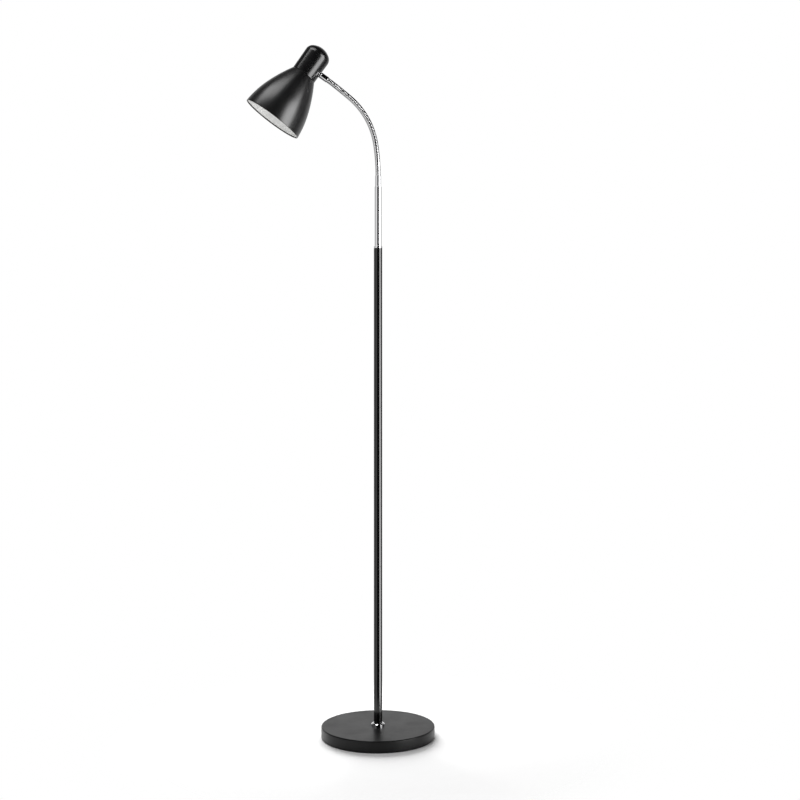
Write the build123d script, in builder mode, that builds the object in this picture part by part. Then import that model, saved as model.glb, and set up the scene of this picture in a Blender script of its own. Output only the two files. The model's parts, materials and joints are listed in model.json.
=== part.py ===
from build123d import *
from math import atan2, cos, degrees, radians, sin, sqrt, tan
import os

# Gooseneck reading floor lamp, in millimetres.
# Frame: +Z up, origin on the floor under the middle of the base. The neck leans
# towards -X, in the XZ plane, and the mains lead enters the base at the back, +Y.

os.makedirs("parts", exist_ok=True)

# ---- Driving dimensions ----

# Base
base_radius = 127.0
base_height = 26.0  # floor to the top of the cover
cover_wall = 1.2
cover_edge = 2.5  # outside radius of the cover's pressed edge
hem_lift = 1.5  # cover's hem above the floor
pad_thickness = 2.5
plate_thickness = 1.2
weight_web = 7.0  # thickness of the casting's disc
weight_rim = 9.0  # width of the casting's rim
weight_chamfer = 1.6
hub_radius = 14.0
hub_web = 3.0
rib_count = 6
rib_width = 4.0
rib_depth = 7.0
weight_overlap = 2.0  # of the ribs and cuts with the rim that they run into
notch_overlap = 1
pilot_extra = 1
screw_circle_radius = 70.0  # radius of the circle of plate screws
screw_count = 3
screw_radius = 2.0
screw_head_radius = 4.0
screw_head_height = 2.0
screw_depth = 9.0  # thread in the casting
boss_radius = 7.0
collar_radius = 15.0
collar_height = 6.0
collar_edge = 3.5  # height of the collar's outer wall
collar_crown = 0.5  # rise of the collar's crown over a straight slope
collar_lip = 1.0

# Pole and chrome tube
pole_radius = 9.5
pole_wall = 1.0
pole_top = 1095.0
pole_sections = 3
pole_chamfer = 0.25
top_ring_radius = 9.8
top_ring_height = 4.5
ring_seat = 1.0  # depth of the seat that centres the chrome tube
neck_tube_radius = 8.0
neck_tube_wall = 1.0
neck_tube_top = 1233.0
bush_length = 12.0

# Hollow threaded fastenings
stud_radius = 5.0
stud_bore = 3.5
stud_projection = 0.6  # thread showing past a nut
nut_flats = 14.0
nut_height = 3.0
base_washer_radius = 12.0
washer_thickness = 1.0

# Lead inside the lamp
lead_radius = 2.5
lead_bend = 8.0
grommet_bore = 3.1
grommet_barrel = 4.1
grommet_flange = 5.1
grommet_lip = 2.0  # thickness of each flange

# Gooseneck
hose_radius = 6.0
hose_bore = 3.2
hose_length = 257.0  # between the two ferrules
hose_insert = 20.0  # hose held inside each ferrule
hose_stub = 12.0  # straight, from a ferrule to the first or last pivot
pivot_count = 12
neck_foot_length = 72.0
neck_foot_turn = 8.6  # degrees that the neck leans over this length
neck_bend_length = 122.0
neck_bend_turn = 41.4
neck_end_turn = 2.2  # over the rest of the hose
nose_radius = 4.9
nest_clearance = 0.25
turn_limit = 19.0  # most that two links turn from straight
turn_spare = 0.3
ribs_per_link = 6
groove_width = 1.2
groove_depth = 0.7
lower_ferrule_top = 1257.5
ferrule_wall = 0.8
ferrule_insert = 20.0  # lower ferrule held inside the chrome tube
upper_ferrule_radius = 7.0
upper_ferrule_length = 18.5
ferrule_end_wall = 6.0
ferrule_bead = 0.4  # height of the bead at the ferrule's head end
bead_width = 1.4

# Joint between neck and head
friction_washer_radius = 5.9
friction_washer_thickness = 2.4
cap_washer_radius = 6.7
cap_washer_thickness = 1.2
stop_washer_radius = 8.2
stop_engagement = 1.0  # of the washer's tab on the bracket's lug
stop_clearance = 0.8  # between the tab and the bracket's foot
stop_tab_width = 3.4
head_nut_height = 4.0
bracket_thickness = 1.5
bracket_bend = 0.5  # inside radius of its bend
bracket_half_width = 7.0
bracket_margin = 0.8  # plate past the lug
bracket_foot = 4.0  # end of the foot, from the head's axis
lug_width = 3.0
lug_height = 1.4

# Head, measured up its axis from the plane of the shade's mouth
head_tilt = 35.5  # head's axis from the vertical, degrees
shade_mouth_radius = 69.5
shade_bend_height = 62.0
shade_bend_radius = 56.6
shade_seam_height = 122.0
shade_seam_radius = 28.8
shade_bulge = 2.2  # crown of the lower part of the bell over a straight line
shade_wall = 0.8
shade_hem = 3.0
cap_height = 72.5
cap_crown_radius = 29.4
cap_dome_height = 21.2
cap_shoulder = 17.0  # outside radius between the cap's side and its crown
cap_wall = 2.4
cap_lip = 1.0
spot_face_radius = 8.0
spot_face_depth = 0.75

# Lampholder and bulb
holder_skirt = 24.0  # threaded skirt below the holder's seat on the shade
holder_rise = 10.0  # holder's back above the same seat
holder_thread_radius = 19.5
holder_flange_radius = 23.0
holder_flange_height = 3.0
holder_body_radius = 19.0
holder_floor = 4.0
contact_chamber_radius = 8.0
contact_chamber_depth = 4.5
shell_wall = 0.5
notch_depth = 1.2
shade_ring_radius = 24.0
shade_ring_height = 7.0
shade_ring_notches = 12
notch_width = 3.0
bracket_screw_radius = 1.5
bracket_screw_head = 2.7
bracket_screw_place = 10.0
bracket_screw_spread = 4.0
bracket_screw_depth = 3.2
lead_entry = 2.0  # where the lead meets the holder, past the head's axis
contact_strip = 0.5
contact_strip_width = 6.0
contact_foot_length = 2.0
contact_slope = 2.0  # run of each slope of the contact, across the lampholder
contact_margin = 1.0  # from the strip's end to the chamber's wall
bulb_radius = 30.0
bulb_length = 108.0
bulb_reach = 0.8  # bulb's contact past the mouth of the contact chamber
bulb_neck_radius = 13.9
bulb_cap_radius = 13.1
bulb_cap_length = 22.0
bulb_cap_wall = 0.5
bulb_wall = 1.5
bulb_rim = 3.0
bulb_spigot = 8.0
bulb_insulator_height = 3.2
bulb_contact_radius = 4.5
bulb_contact_height = 1.4
led_board_thickness = 1.2

# Clearances
press_clearance = 0.05
running_clearance = 0.08
slip_clearance = 0.3
weight_clearance = 0.8

# ---- Values worked out from them ----

cover_inside = base_radius - cover_wall
cover_underside = base_height - cover_wall
plate_top = pad_thickness + plate_thickness
plate_radius = cover_inside - slip_clearance
weight_radius = cover_inside - weight_clearance
web_underside = cover_underside - weight_web
hub_underside = cover_underside - hub_web
base_nut_top = hub_underside - washer_thickness
stud_bottom = base_nut_top - nut_height - stud_projection
lead_height = stud_bottom - lead_bend

pole_inside = pole_radius - pole_wall
section_length = (pole_top - base_height) / pole_sections
joint_heights = [base_height + section_length * k for k in range(1, pole_sections)]
neck_tube_inside = neck_tube_radius - neck_tube_wall
neck_tube_bottom = pole_top + top_ring_height - ring_seat
stud_reach = bush_length - 1.0  # thread in each bush
bush_bore = stud_radius + press_clearance
lower_ferrule_radius = neck_tube_inside - press_clearance
hose_start = lower_ferrule_top - hose_insert

joint_pitch = (hose_length - 2 * hose_stub) / (pivot_count - 1)
joint_groove = hose_radius * sin(radians(turn_limit)) + turn_spare
rib_pitch = (joint_pitch - joint_groove + groove_width) / ribs_per_link
neck_arcs = [
    (neck_foot_length, neck_foot_turn),
    (neck_bend_length, neck_bend_turn),
    (hose_length - neck_foot_length - neck_bend_length, neck_end_turn),
]
nest_radius = nose_radius + nest_clearance

cap_top = shade_seam_height + cap_height
dome_height = cap_top - cap_dome_height
holder_front = shade_seam_height - holder_skirt
holder_back = shade_seam_height + holder_rise
stop_tab_radius = stop_washer_radius + slip_clearance + stop_engagement
nipple_height = holder_back + bracket_thickness + stop_tab_radius + stop_clearance
crown_rise = cap_crown_radius * (cap_crown_radius - 2 * cap_shoulder) + cap_dome_height**2
crown_radius = crown_rise / (2 * (cap_dome_height - cap_shoulder))
shoulder_angle = degrees(atan2(crown_radius - cap_dome_height, cap_crown_radius - cap_shoulder))
cap_taper = (cap_crown_radius - shade_seam_radius) / (dome_height - shade_seam_height)
spot_face = shade_seam_radius + cap_taper * (nipple_height - shade_seam_height) - spot_face_depth
bracket_face = sqrt((shade_seam_radius - cap_wall) ** 2 - bracket_half_width**2) - slip_clearance
washer_face = bracket_face - bracket_thickness
nut_face = washer_face - washer_thickness
nipple_end = nut_face - head_nut_height - stud_projection
stack_length = friction_washer_thickness + cap_washer_thickness
foot_top = holder_back + bracket_thickness
flange_underside = shade_seam_height - shade_wall
shell_inside = bulb_cap_radius + slip_clearance
holder_bore = shell_inside + shell_wall + press_clearance
chamber_floor = holder_back - holder_floor
chamber_mouth = chamber_floor - contact_chamber_depth
lug_place = stop_washer_radius + slip_clearance + lug_width / 2
bulb_contact_top = chamber_mouth + bulb_reach
bulb_tip = bulb_contact_top - bulb_length
bulb_cap_top = bulb_contact_top - bulb_contact_height - bulb_insulator_height
bulb_cap_bottom = bulb_cap_top - bulb_cap_length
bulb_middle = bulb_tip + bulb_radius


def lean_at(distance):
    """Lean of the neck's rest line from the vertical, in degrees, at a distance along it."""
    lean = 0.0
    for length, turn in neck_arcs:
        lean += turn * min(max(distance, 0.0), length) / length
        distance -= length
    return lean


def lean_direction(lean):
    """Unit vector that leans from +Z towards -X by an angle in degrees."""
    return Vector(-sin(radians(lean)), 0, cos(radians(lean)))


def lean_plane(origin, lean):
    """Plane for a half section in the XZ plane: local x is radius, local y the leaning axis."""
    across = Vector(cos(radians(lean)), 0, sin(radians(lean)))
    return Plane(origin=origin, x_dir=across, z_dir=(0, -1, 0))


def turning_axis(plane):
    """Axis that a half section drawn on the plane turns about."""
    return Axis(plane.origin, plane.y_dir)


def ring_section(inner, outer, low, high, mode=Mode.ADD):
    """Draw the half section of a ring: a rectangle between two radii and two heights."""
    with Locations(((inner + outer) / 2, (low + high) / 2)):
        Rectangle(outer - inner, high - low, mode=mode)


def keep(piece, name):
    """Label a finished piece and write its STEP file."""
    piece.part.label = name
    export_step(piece.part, f"parts/{name}.step")


# Leans of the hose's links, from the one held in the lower ferrule to the one in the
# upper ferrule, and the pivots between them.
neck_end_lean = 90.0 - head_tilt
link_leans = [lean_at(hose_stub / 2)]
for k in range(pivot_count - 1):
    link_leans.append(lean_at(hose_stub + joint_pitch * (k + 0.5)))
link_leans.append(neck_end_lean)
pivots = [Vector(0, 0, lower_ferrule_top + hose_stub)]
for lean in link_leans[1:-1]:
    pivots.append(pivots[-1] + lean_direction(lean) * joint_pitch)

# The upper ferrule starts where the visible hose ends. The head's axis crosses the
# ferrule's axis at the nipple's height.
neck_tip = pivots[-1] + lean_direction(neck_end_lean) * hose_stub
neck_end_plane = lean_plane(neck_tip, neck_end_lean)
neck_end_axis = turning_axis(neck_end_plane)
crossing_distance = upper_ferrule_length + stack_length + spot_face
crossing = neck_tip + lean_direction(neck_end_lean) * crossing_distance
mouth_centre = crossing - lean_direction(-head_tilt) * nipple_height
head_plane = lean_plane(mouth_centre, -head_tilt)
head_axis = turning_axis(head_plane)

# ---- Base ----

with BuildPart() as foot_pad:
    with BuildSketch():
        Circle(weight_radius)
        with PolarLocations(screw_circle_radius, screw_count, start_angle=30):
            Circle(screw_head_radius + slip_clearance, mode=Mode.SUBTRACT)
    extrude(amount=pad_thickness)
keep(foot_pad, "foot_pad")

with BuildPart() as base_plate:
    with BuildSketch(Plane.XY.offset(pad_thickness)):
        Circle(plate_radius)
        with PolarLocations(screw_circle_radius, screw_count, start_angle=30):
            Circle(screw_radius + slip_clearance, mode=Mode.SUBTRACT)
    extrude(amount=plate_thickness)
keep(base_plate, "base_plate")

with BuildPart() as plate_screws:
    with BuildSketch(Plane.XY.offset(pad_thickness - screw_head_height)):
        with PolarLocations(screw_circle_radius, screw_count, start_angle=30):
            Circle(screw_head_radius)
    extrude(amount=screw_head_height)
    with BuildSketch(Plane.XY.offset(pad_thickness)):
        with PolarLocations(screw_circle_radius, screw_count, start_angle=30):
            Circle(screw_radius)
    extrude(amount=plate_thickness + screw_depth)
    with BuildSketch(Plane.XY.offset(pad_thickness - screw_head_height)):
        with PolarLocations(screw_circle_radius, screw_count, start_angle=30):
            SlotOverall(screw_head_radius * 1.3, screw_radius * 0.5)
            SlotOverall(screw_head_radius * 1.3, screw_radius * 0.5, rotation=90)
    extrude(amount=screw_head_height / 2, mode=Mode.SUBTRACT)
keep(plate_screws, "plate_screws")

with BuildPart() as base_weight:
    with BuildSketch(Plane.XZ):
        ring_section(hub_radius, weight_radius, web_underside, cover_underside)
        ring_section(stud_radius + slip_clearance, hub_radius, hub_underside, cover_underside)
        ring_section(weight_radius - weight_rim, weight_radius, plate_top, cover_underside)
    revolve(axis=Axis.Z)
    chamfer(edges().filter_by(GeomType.CIRCLE).group_by(Axis.Z)[-1].sort_by(SortBy.RADIUS)[-1], weight_chamfer)
    rib_length = weight_radius - weight_rim - hub_radius
    with BuildSketch(Plane.XY.offset(web_underside)):
        with PolarLocations(hub_radius + rib_length / 2, rib_count):
            Rectangle(rib_length + weight_overlap, rib_width)
    extrude(amount=-rib_depth)
    with BuildSketch(Plane.XY.offset(plate_top)):
        with PolarLocations(screw_circle_radius, screw_count, start_angle=30):
            Circle(boss_radius)
    extrude(amount=web_underside - plate_top)
    with BuildSketch(Plane.XY.offset(plate_top)):
        with PolarLocations(screw_circle_radius, screw_count, start_angle=30):
            Circle(screw_radius + press_clearance)
    extrude(amount=screw_depth + pilot_extra, mode=Mode.SUBTRACT)
    # Way for the lead through the rim, at the back
    with BuildSketch(Plane.XZ.offset(-(weight_radius - weight_rim - notch_overlap))):
        with Locations((0, lead_height)):
            Circle(grommet_flange + slip_clearance)
        with Locations((0, (plate_top + lead_height) / 2)):
            Rectangle(2 * (grommet_flange + slip_clearance), lead_height - plate_top)
    extrude(amount=-(weight_rim + 2 * notch_overlap), mode=Mode.SUBTRACT)
keep(base_weight, "base_weight")

with BuildPart() as base_cover:
    with BuildSketch(Plane.XZ):
        with BuildLine():
            stud_hole = stud_radius + slip_clearance
            outer = FilletPolyline(
                (stud_hole, base_height), (base_radius, base_height), (base_radius, hem_lift), radius=cover_edge
            )
            inner = FilletPolyline(
                (cover_inside, hem_lift),
                (cover_inside, cover_underside),
                (stud_hole, cover_underside),
                radius=cover_edge - cover_wall,
            )
            Line(outer @ 1, inner @ 0)
            Line(inner @ 1, outer @ 0)
        make_face()
    revolve(axis=Axis.Z)
    with BuildSketch(Plane.XZ.offset(-(cover_inside - cover_wall))):
        with Locations((0, lead_height)):
            Circle(grommet_barrel + press_clearance)
    extrude(amount=-3 * cover_wall, mode=Mode.SUBTRACT)
keep(base_cover, "base_cover")

# The grommet turns about the lead's line, so its section is drawn in the YZ plane.
with BuildPart() as cord_grommet:
    grommet_plane = Plane(origin=(0, 0, lead_height), x_dir=(0, 0, 1), z_dir=(-1, 0, 0))
    wall_inside = sqrt(cover_inside**2 - grommet_flange**2) - press_clearance
    with BuildSketch(grommet_plane):
        ring_section(grommet_bore, grommet_flange, wall_inside - grommet_lip, wall_inside)
        ring_section(grommet_bore, grommet_barrel, wall_inside, base_radius)
        ring_section(grommet_bore, grommet_flange, base_radius, base_radius + grommet_lip)
    revolve(axis=turning_axis(grommet_plane))
    fillet(edges().filter_by(GeomType.CIRCLE).sort_by(Axis.Y)[-2:].sort_by(SortBy.RADIUS)[-1], grommet_lip / 2)
keep(cord_grommet, "cord_grommet")

with BuildPart() as base_stud:
    with BuildSketch(Plane.XZ):
        ring_section(stud_bore, stud_radius, stud_bottom, base_height + stud_reach)
    revolve(axis=Axis.Z)
keep(base_stud, "base_stud")

with BuildPart() as base_washer:
    with BuildSketch(Plane.XZ):
        ring_section(stud_radius + press_clearance, base_washer_radius, base_nut_top, hub_underside)
    revolve(axis=Axis.Z)
keep(base_washer, "base_washer")

with BuildPart() as base_nut:
    with BuildSketch(Plane.XY.offset(base_nut_top - nut_height)):
        RegularPolygon(nut_flats / 2, 6, major_radius=False)
        Circle(stud_radius + press_clearance, mode=Mode.SUBTRACT)
    extrude(amount=nut_height)
keep(base_nut, "base_nut")

with BuildPart() as base_collar:
    with BuildSketch(Plane.XZ):
        with BuildLine():
            collar_hole = pole_radius + press_clearance
            foot = Line((collar_hole, base_height), (collar_radius, base_height))
            wall = Line(foot @ 1, (collar_radius, base_height + collar_edge))
            crown = SagittaArc(wall @ 1, (collar_hole + collar_lip, base_height + collar_height), -collar_crown)
            lip = Line(crown @ 1, (collar_hole, base_height + collar_height))
            Line(lip @ 1, foot @ 0)
        make_face()
    revolve(axis=Axis.Z)
keep(base_collar, "base_collar")

# ---- Pole ----

for index, name in enumerate(["pole_lower", "pole_middle", "pole_upper"]):
    with BuildPart() as pole_section:
        with BuildSketch(Plane.XY.offset(base_height + section_length * index)):
            Circle(pole_radius)
            Circle(pole_inside, mode=Mode.SUBTRACT)
        extrude(amount=section_length)
        chamfer(edges().filter_by(GeomType.CIRCLE).group_by(SortBy.RADIUS)[-1], pole_chamfer)
    keep(pole_section, name)

# Threaded bushes pressed into both ends of each pole section
with BuildPart() as lower_end_bushes:
    with BuildSketch(Plane.XZ):
        for end in [base_height] + joint_heights:
            ring_section(bush_bore, pole_inside - press_clearance, end, end + bush_length)
    revolve(axis=Axis.Z)
keep(lower_end_bushes, "lower_end_bushes")

with BuildPart() as upper_end_bushes:
    with BuildSketch(Plane.XZ):
        for end in joint_heights + [pole_top]:
            ring_section(bush_bore, pole_inside - press_clearance, end - bush_length, end)
    revolve(axis=Axis.Z)
keep(upper_end_bushes, "upper_end_bushes")

with BuildPart() as pole_nipples:
    with BuildSketch(Plane.XZ):
        for height in joint_heights:
            ring_section(stud_bore, stud_radius, height - stud_reach, height + stud_reach)
    revolve(axis=Axis.Z)
keep(pole_nipples, "pole_nipples")

with BuildPart() as pole_top_ring:
    with BuildSketch(Plane.XZ):
        ring_section(stud_radius + press_clearance, top_ring_radius, pole_top, pole_top + top_ring_height)
    revolve(axis=Axis.Z)
    fillet(edges().filter_by(GeomType.CIRCLE).group_by(SortBy.RADIUS)[-1], 0.8)
    with BuildSketch(Plane.XY.offset(neck_tube_bottom)):
        Circle(neck_tube_radius + press_clearance)
        Circle(stud_radius, mode=Mode.SUBTRACT)
    extrude(amount=ring_seat, mode=Mode.SUBTRACT)
keep(pole_top_ring, "pole_top_ring")

with BuildPart() as neck_tube_nipple:
    with BuildSketch(Plane.XZ):
        ring_section(stud_bore, stud_radius, pole_top - stud_reach, neck_tube_bottom + stud_reach)
    revolve(axis=Axis.Z)
keep(neck_tube_nipple, "neck_tube_nipple")

with BuildPart() as neck_tube_bush:
    with BuildSketch(Plane.XZ):
        ring_section(
            stud_radius + press_clearance,
            neck_tube_inside - press_clearance,
            neck_tube_bottom,
            neck_tube_bottom + bush_length,
        )
    revolve(axis=Axis.Z)
keep(neck_tube_bush, "neck_tube_bush")

with BuildPart() as neck_tube:
    with BuildSketch(Plane.XZ):
        ring_section(neck_tube_inside, neck_tube_radius, neck_tube_bottom, neck_tube_top)
    revolve(axis=Axis.Z)
    fillet(edges().filter_by(GeomType.CIRCLE).group_by(Axis.Z)[-1].sort_by(SortBy.RADIUS)[-1], neck_tube_wall * 0.8)
keep(neck_tube, "neck_tube")

with BuildPart() as lower_ferrule:
    with BuildSketch(Plane.XZ):
        ring_section(
            hose_radius + press_clearance,
            lower_ferrule_radius,
            neck_tube_top - ferrule_insert,
            lower_ferrule_top,
        )
    revolve(axis=Axis.Z)
    chamfer(
        edges().filter_by(GeomType.CIRCLE).group_by(Axis.Z)[-1].sort_by(SortBy.RADIUS)[-1], ferrule_wall / 2
    )
keep(lower_ferrule, "lower_ferrule")

# ---- Gooseneck hose ----


def hose_section(low, high, has_socket, has_nose):
    """Draw the half section of one link of the ribbed hose.

    Local y is 0 at the link's lower pivot and joint_pitch at its upper pivot. A socket at
    the lower pivot nests over the rounded nose at the upper pivot of the link below.
    """
    shoulder = joint_pitch - joint_groove if has_nose else high
    outline = [(hose_radius, low)]
    for turn in range(-ribs_per_link, 2 * ribs_per_link):
        top = turn * rib_pitch
        if top - groove_width > low and top < shoulder:
            outline.append((hose_radius, top - groove_width))
            outline.append((hose_radius - groove_depth, top - groove_width / 2))
            outline.append((hose_radius, top))
    outline.append((hose_radius, shoulder))
    with BuildLine() as half:
        Polyline(*outline)
        if has_nose:
            root = sqrt(nose_radius**2 - joint_groove**2)
            reach = sqrt(nose_radius**2 - hose_bore**2)
            Line((hose_radius, shoulder), (root, shoulder))
            ThreePointArc((root, shoulder), (nose_radius, joint_pitch), (hose_bore, joint_pitch + reach))
            bore_top = joint_pitch + reach
        else:
            Line((hose_radius, shoulder), (hose_bore, shoulder))
            bore_top = shoulder
        if has_socket:
            depth = sqrt(nest_radius**2 - hose_bore**2)
            middle = nest_radius * sqrt(0.5)
            Line((hose_bore, bore_top), (hose_bore, depth))
            ThreePointArc((hose_bore, depth), (middle, middle), (nest_radius, low))
            Line((nest_radius, low), (hose_radius, low))
        else:
            Line((hose_bore, bore_top), (hose_bore, low))
            Line((hose_bore, low), (hose_radius, low))
    make_face(half.edges())


root_link_low = joint_pitch - hose_stub - hose_insert
with BuildPart() as neck_root_link:
    root_plane = lean_plane(pivots[0] - lean_direction(0) * joint_pitch, 0)
    with BuildSketch(root_plane):
        hose_section(root_link_low, joint_pitch, has_socket=False, has_nose=True)
    revolve(axis=turning_axis(root_plane))
keep(neck_root_link, "neck_root_link")

for index in range(1, pivot_count):
    with BuildPart() as neck_link:
        link_plane = lean_plane(pivots[index - 1], link_leans[index])
        with BuildSketch(link_plane):
            hose_section(0, joint_pitch, has_socket=True, has_nose=True)
        revolve(axis=turning_axis(link_plane))
    keep(neck_link, f"neck_link_{index:02d}")

with BuildPart() as neck_tip_link:
    tip_plane = lean_plane(pivots[-1], neck_end_lean)
    tip_link_high = hose_stub + upper_ferrule_length - ferrule_end_wall
    with BuildSketch(tip_plane):
        hose_section(0, tip_link_high, has_socket=True, has_nose=False)
    revolve(axis=turning_axis(tip_plane))
keep(neck_tip_link, "neck_tip_link")

# ---- Joint between neck and head, along the upper ferrule's axis ----

ferrule_end = upper_ferrule_length
friction_end = ferrule_end + friction_washer_thickness
stack_end = ferrule_end + stack_length


def crossing_to_ferrule(distance):
    """Turn a distance from the head's axis into a place along the ferrule's axis."""
    return crossing_distance - distance


with BuildPart() as upper_ferrule:
    with BuildSketch(neck_end_plane):
        ring_section(hose_radius + press_clearance, upper_ferrule_radius, 0, ferrule_end - ferrule_end_wall)
        ring_section(stud_radius + press_clearance, upper_ferrule_radius, ferrule_end - ferrule_end_wall, ferrule_end)
        ring_section(
            upper_ferrule_radius, upper_ferrule_radius + ferrule_bead, ferrule_end - bead_width, ferrule_end
        )
    revolve(axis=neck_end_axis)
keep(upper_ferrule, "upper_ferrule")

with BuildPart() as friction_washer:
    with BuildSketch(neck_end_plane):
        ring_section(stud_radius + press_clearance, friction_washer_radius, ferrule_end, friction_end)
    revolve(axis=neck_end_axis)
keep(friction_washer, "friction_washer")

with BuildPart() as cap_washer:
    with BuildSketch(neck_end_plane):
        ring_section(stud_radius + running_clearance, cap_washer_radius, friction_end, stack_end)
    revolve(axis=neck_end_axis)
keep(cap_washer, "cap_washer")

nipple_start = ferrule_end - ferrule_end_wall
nipple_stop = crossing_to_ferrule(nipple_end)
with BuildPart() as head_nipple:
    with BuildSketch(neck_end_plane):
        ring_section(stud_bore, stud_radius, nipple_start, nipple_stop)
    revolve(axis=neck_end_axis)
keep(head_nipple, "head_nipple")


def nipple_plane(distance):
    """Plane across the nipple's axis at a distance from the head's axis.

    Its z points to the neck, and its y down the head's axis, to the shade's mouth.
    """
    origin = head_plane.from_local_coords((distance, nipple_height, 0))
    return Plane(origin=origin, x_dir=head_plane.z_dir, z_dir=head_plane.x_dir)


def across_head(height):
    """Plane across the head's axis at a height over the mouth. Its x points to the neck."""
    origin = head_plane.from_local_coords((0, height, 0))
    return Plane(origin=origin, x_dir=head_plane.x_dir, z_dir=head_plane.y_dir)


# The stop washer is keyed to the nipple. Its tab meets the bracket's lug before the
# head can twist the lead through a whole turn.
with BuildPart() as stop_washer:
    with BuildSketch(nipple_plane(nut_face)):
        Circle(stop_washer_radius)
        with Locations((0, (stop_tab_radius - stop_tab_width / 2) / 2)):
            Rectangle(stop_tab_width, stop_tab_radius - stop_tab_width / 2)
        with Locations((0, stop_tab_radius - stop_tab_width / 2)):
            Circle(stop_tab_width / 2)
        Circle(stud_radius + press_clearance, mode=Mode.SUBTRACT)
    extrude(amount=washer_thickness)
keep(stop_washer, "stop_washer")

with BuildPart() as head_nut:
    with BuildSketch(nipple_plane(nut_face - head_nut_height)):
        RegularPolygon(nut_flats / 2, 6, major_radius=False)
        Circle(stud_radius + press_clearance, mode=Mode.SUBTRACT)
    extrude(amount=head_nut_height)
keep(head_nut, "head_nut")

with BuildPart() as holder_bracket:
    plate_end = nipple_height + lug_place + lug_width / 2 + bracket_margin
    with BuildSketch(head_plane):
        with BuildLine():
            FilletPolyline(
                (bracket_foot, holder_back),
                (bracket_face, holder_back),
                (bracket_face, plate_end),
                radius=bracket_bend + bracket_thickness,
            )
            Line((bracket_face, plate_end), (washer_face, plate_end))
            FilletPolyline(
                (washer_face, plate_end), (washer_face, foot_top), (bracket_foot, foot_top), radius=bracket_bend
            )
            Line((bracket_foot, foot_top), (bracket_foot, holder_back))
        make_face()
    extrude(amount=bracket_half_width, both=True)
    with BuildSketch(nipple_plane(washer_face)):
        Circle(stud_radius + running_clearance)
    extrude(amount=bracket_thickness, mode=Mode.SUBTRACT)
    # Lug that limits the head's turn, past the stop washer's rim
    with BuildSketch(nipple_plane(washer_face)):
        with Locations((0, -lug_place)):
            Circle(lug_width / 2)
    extrude(amount=-lug_height)
    with BuildSketch(across_head(foot_top)):
        for side in (-1, 1):
            with Locations((bracket_screw_place, side * bracket_screw_spread)):
                Circle(bracket_screw_radius + slip_clearance / 2)
    extrude(amount=-bracket_thickness, mode=Mode.SUBTRACT)
keep(holder_bracket, "holder_bracket")

# ---- Head ----

with BuildPart() as lamp_cap:
    with BuildSketch(head_plane):
        with BuildLine():
            side = Line((shade_seam_radius, shade_seam_height), (cap_crown_radius, dome_height))
            for depth in (0, cap_wall):
                shoulder_centre = (cap_crown_radius - cap_shoulder, dome_height)
                CenterArc(shoulder_centre, cap_shoulder - depth, 0, shoulder_angle)
                CenterArc((0, cap_top - crown_radius), crown_radius - depth, shoulder_angle, 90 - shoulder_angle)
            Line((0, cap_top), (0, cap_top - cap_wall))
            inside = Line(
                (cap_crown_radius - cap_wall, dome_height), (shade_seam_radius - cap_wall, shade_seam_height)
            )
            Line(inside @ 1, side @ 0)
        make_face()
    revolve(axis=head_axis)
    fillet(edges().filter_by(GeomType.CIRCLE).sort_by(head_axis)[:2].sort_by(SortBy.RADIUS)[-1], cap_lip)
    # Boss that seats the bracket, spot face for the washer, and hole for the nipple
    with BuildSketch(nipple_plane(bracket_face)):
        Circle(bracket_half_width)
    extrude(amount=(spot_face - bracket_face) / 2)
    with BuildSketch(nipple_plane(spot_face)):
        Circle(spot_face_radius)
    extrude(amount=2 * cap_wall, mode=Mode.SUBTRACT)
    with BuildSketch(nipple_plane(bracket_face)):
        Circle(stud_radius + running_clearance)
    extrude(amount=cap_crown_radius, mode=Mode.SUBTRACT)
keep(lamp_cap, "lamp_cap")

with BuildPart() as lamp_shade:
    with BuildSketch(head_plane):
        with BuildLine():
            lower_bell = SagittaArc(
                (shade_mouth_radius, 0), (shade_bend_radius, shade_bend_height), -shade_bulge
            )
            upper_bell = TangentArc(lower_bell @ 1, (shade_seam_radius, shade_seam_height), tangent=lower_bell % 1)
            Line(upper_bell @ 1, (0, shade_seam_height))
            Line((0, shade_seam_height), (0, 0))
            Line((0, 0), lower_bell @ 0)
        make_face()
    revolve(axis=head_axis)
    mouth = faces().filter_by(GeomType.PLANE).sort_by(head_axis)[0]
    offset(amount=-shade_wall, openings=mouth)
    # Folded hem inside the mouth, and the hole for the lampholder's threaded skirt
    with BuildSketch(head_plane):
        ring_section(shade_mouth_radius - 2 * shade_wall, shade_mouth_radius - shade_wall / 2, 0, shade_hem)
    revolve(axis=head_axis)
    with BuildSketch(across_head(shade_seam_height)):
        Circle(holder_thread_radius + slip_clearance)
    extrude(amount=-2 * shade_wall, mode=Mode.SUBTRACT)
keep(lamp_shade, "lamp_shade")

with BuildPart() as lampholder_body:
    with BuildSketch(head_plane):
        ring_section(0, holder_thread_radius, holder_front, shade_seam_height)
        ring_section(0, holder_flange_radius, shade_seam_height, shade_seam_height + holder_flange_height)
        ring_section(0, holder_body_radius, shade_seam_height, holder_back)
        ring_section(0, holder_bore, holder_front, chamber_mouth, mode=Mode.SUBTRACT)
        ring_section(0, contact_chamber_radius, chamber_mouth, chamber_floor, mode=Mode.SUBTRACT)
    revolve(axis=head_axis)
    with BuildSketch(across_head(holder_back)):
        for side in (-1, 1):
            with Locations((bracket_screw_place, side * bracket_screw_spread)):
                Circle(bracket_screw_radius + press_clearance)
    extrude(amount=-(bracket_screw_depth + slip_clearance), mode=Mode.SUBTRACT)
    with BuildSketch(across_head(holder_back)):
        with Locations((-lead_entry, 0)):
            Circle(lead_radius + slip_clearance)
    extrude(amount=-holder_floor, mode=Mode.SUBTRACT)
keep(lampholder_body, "lampholder_body")

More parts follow.
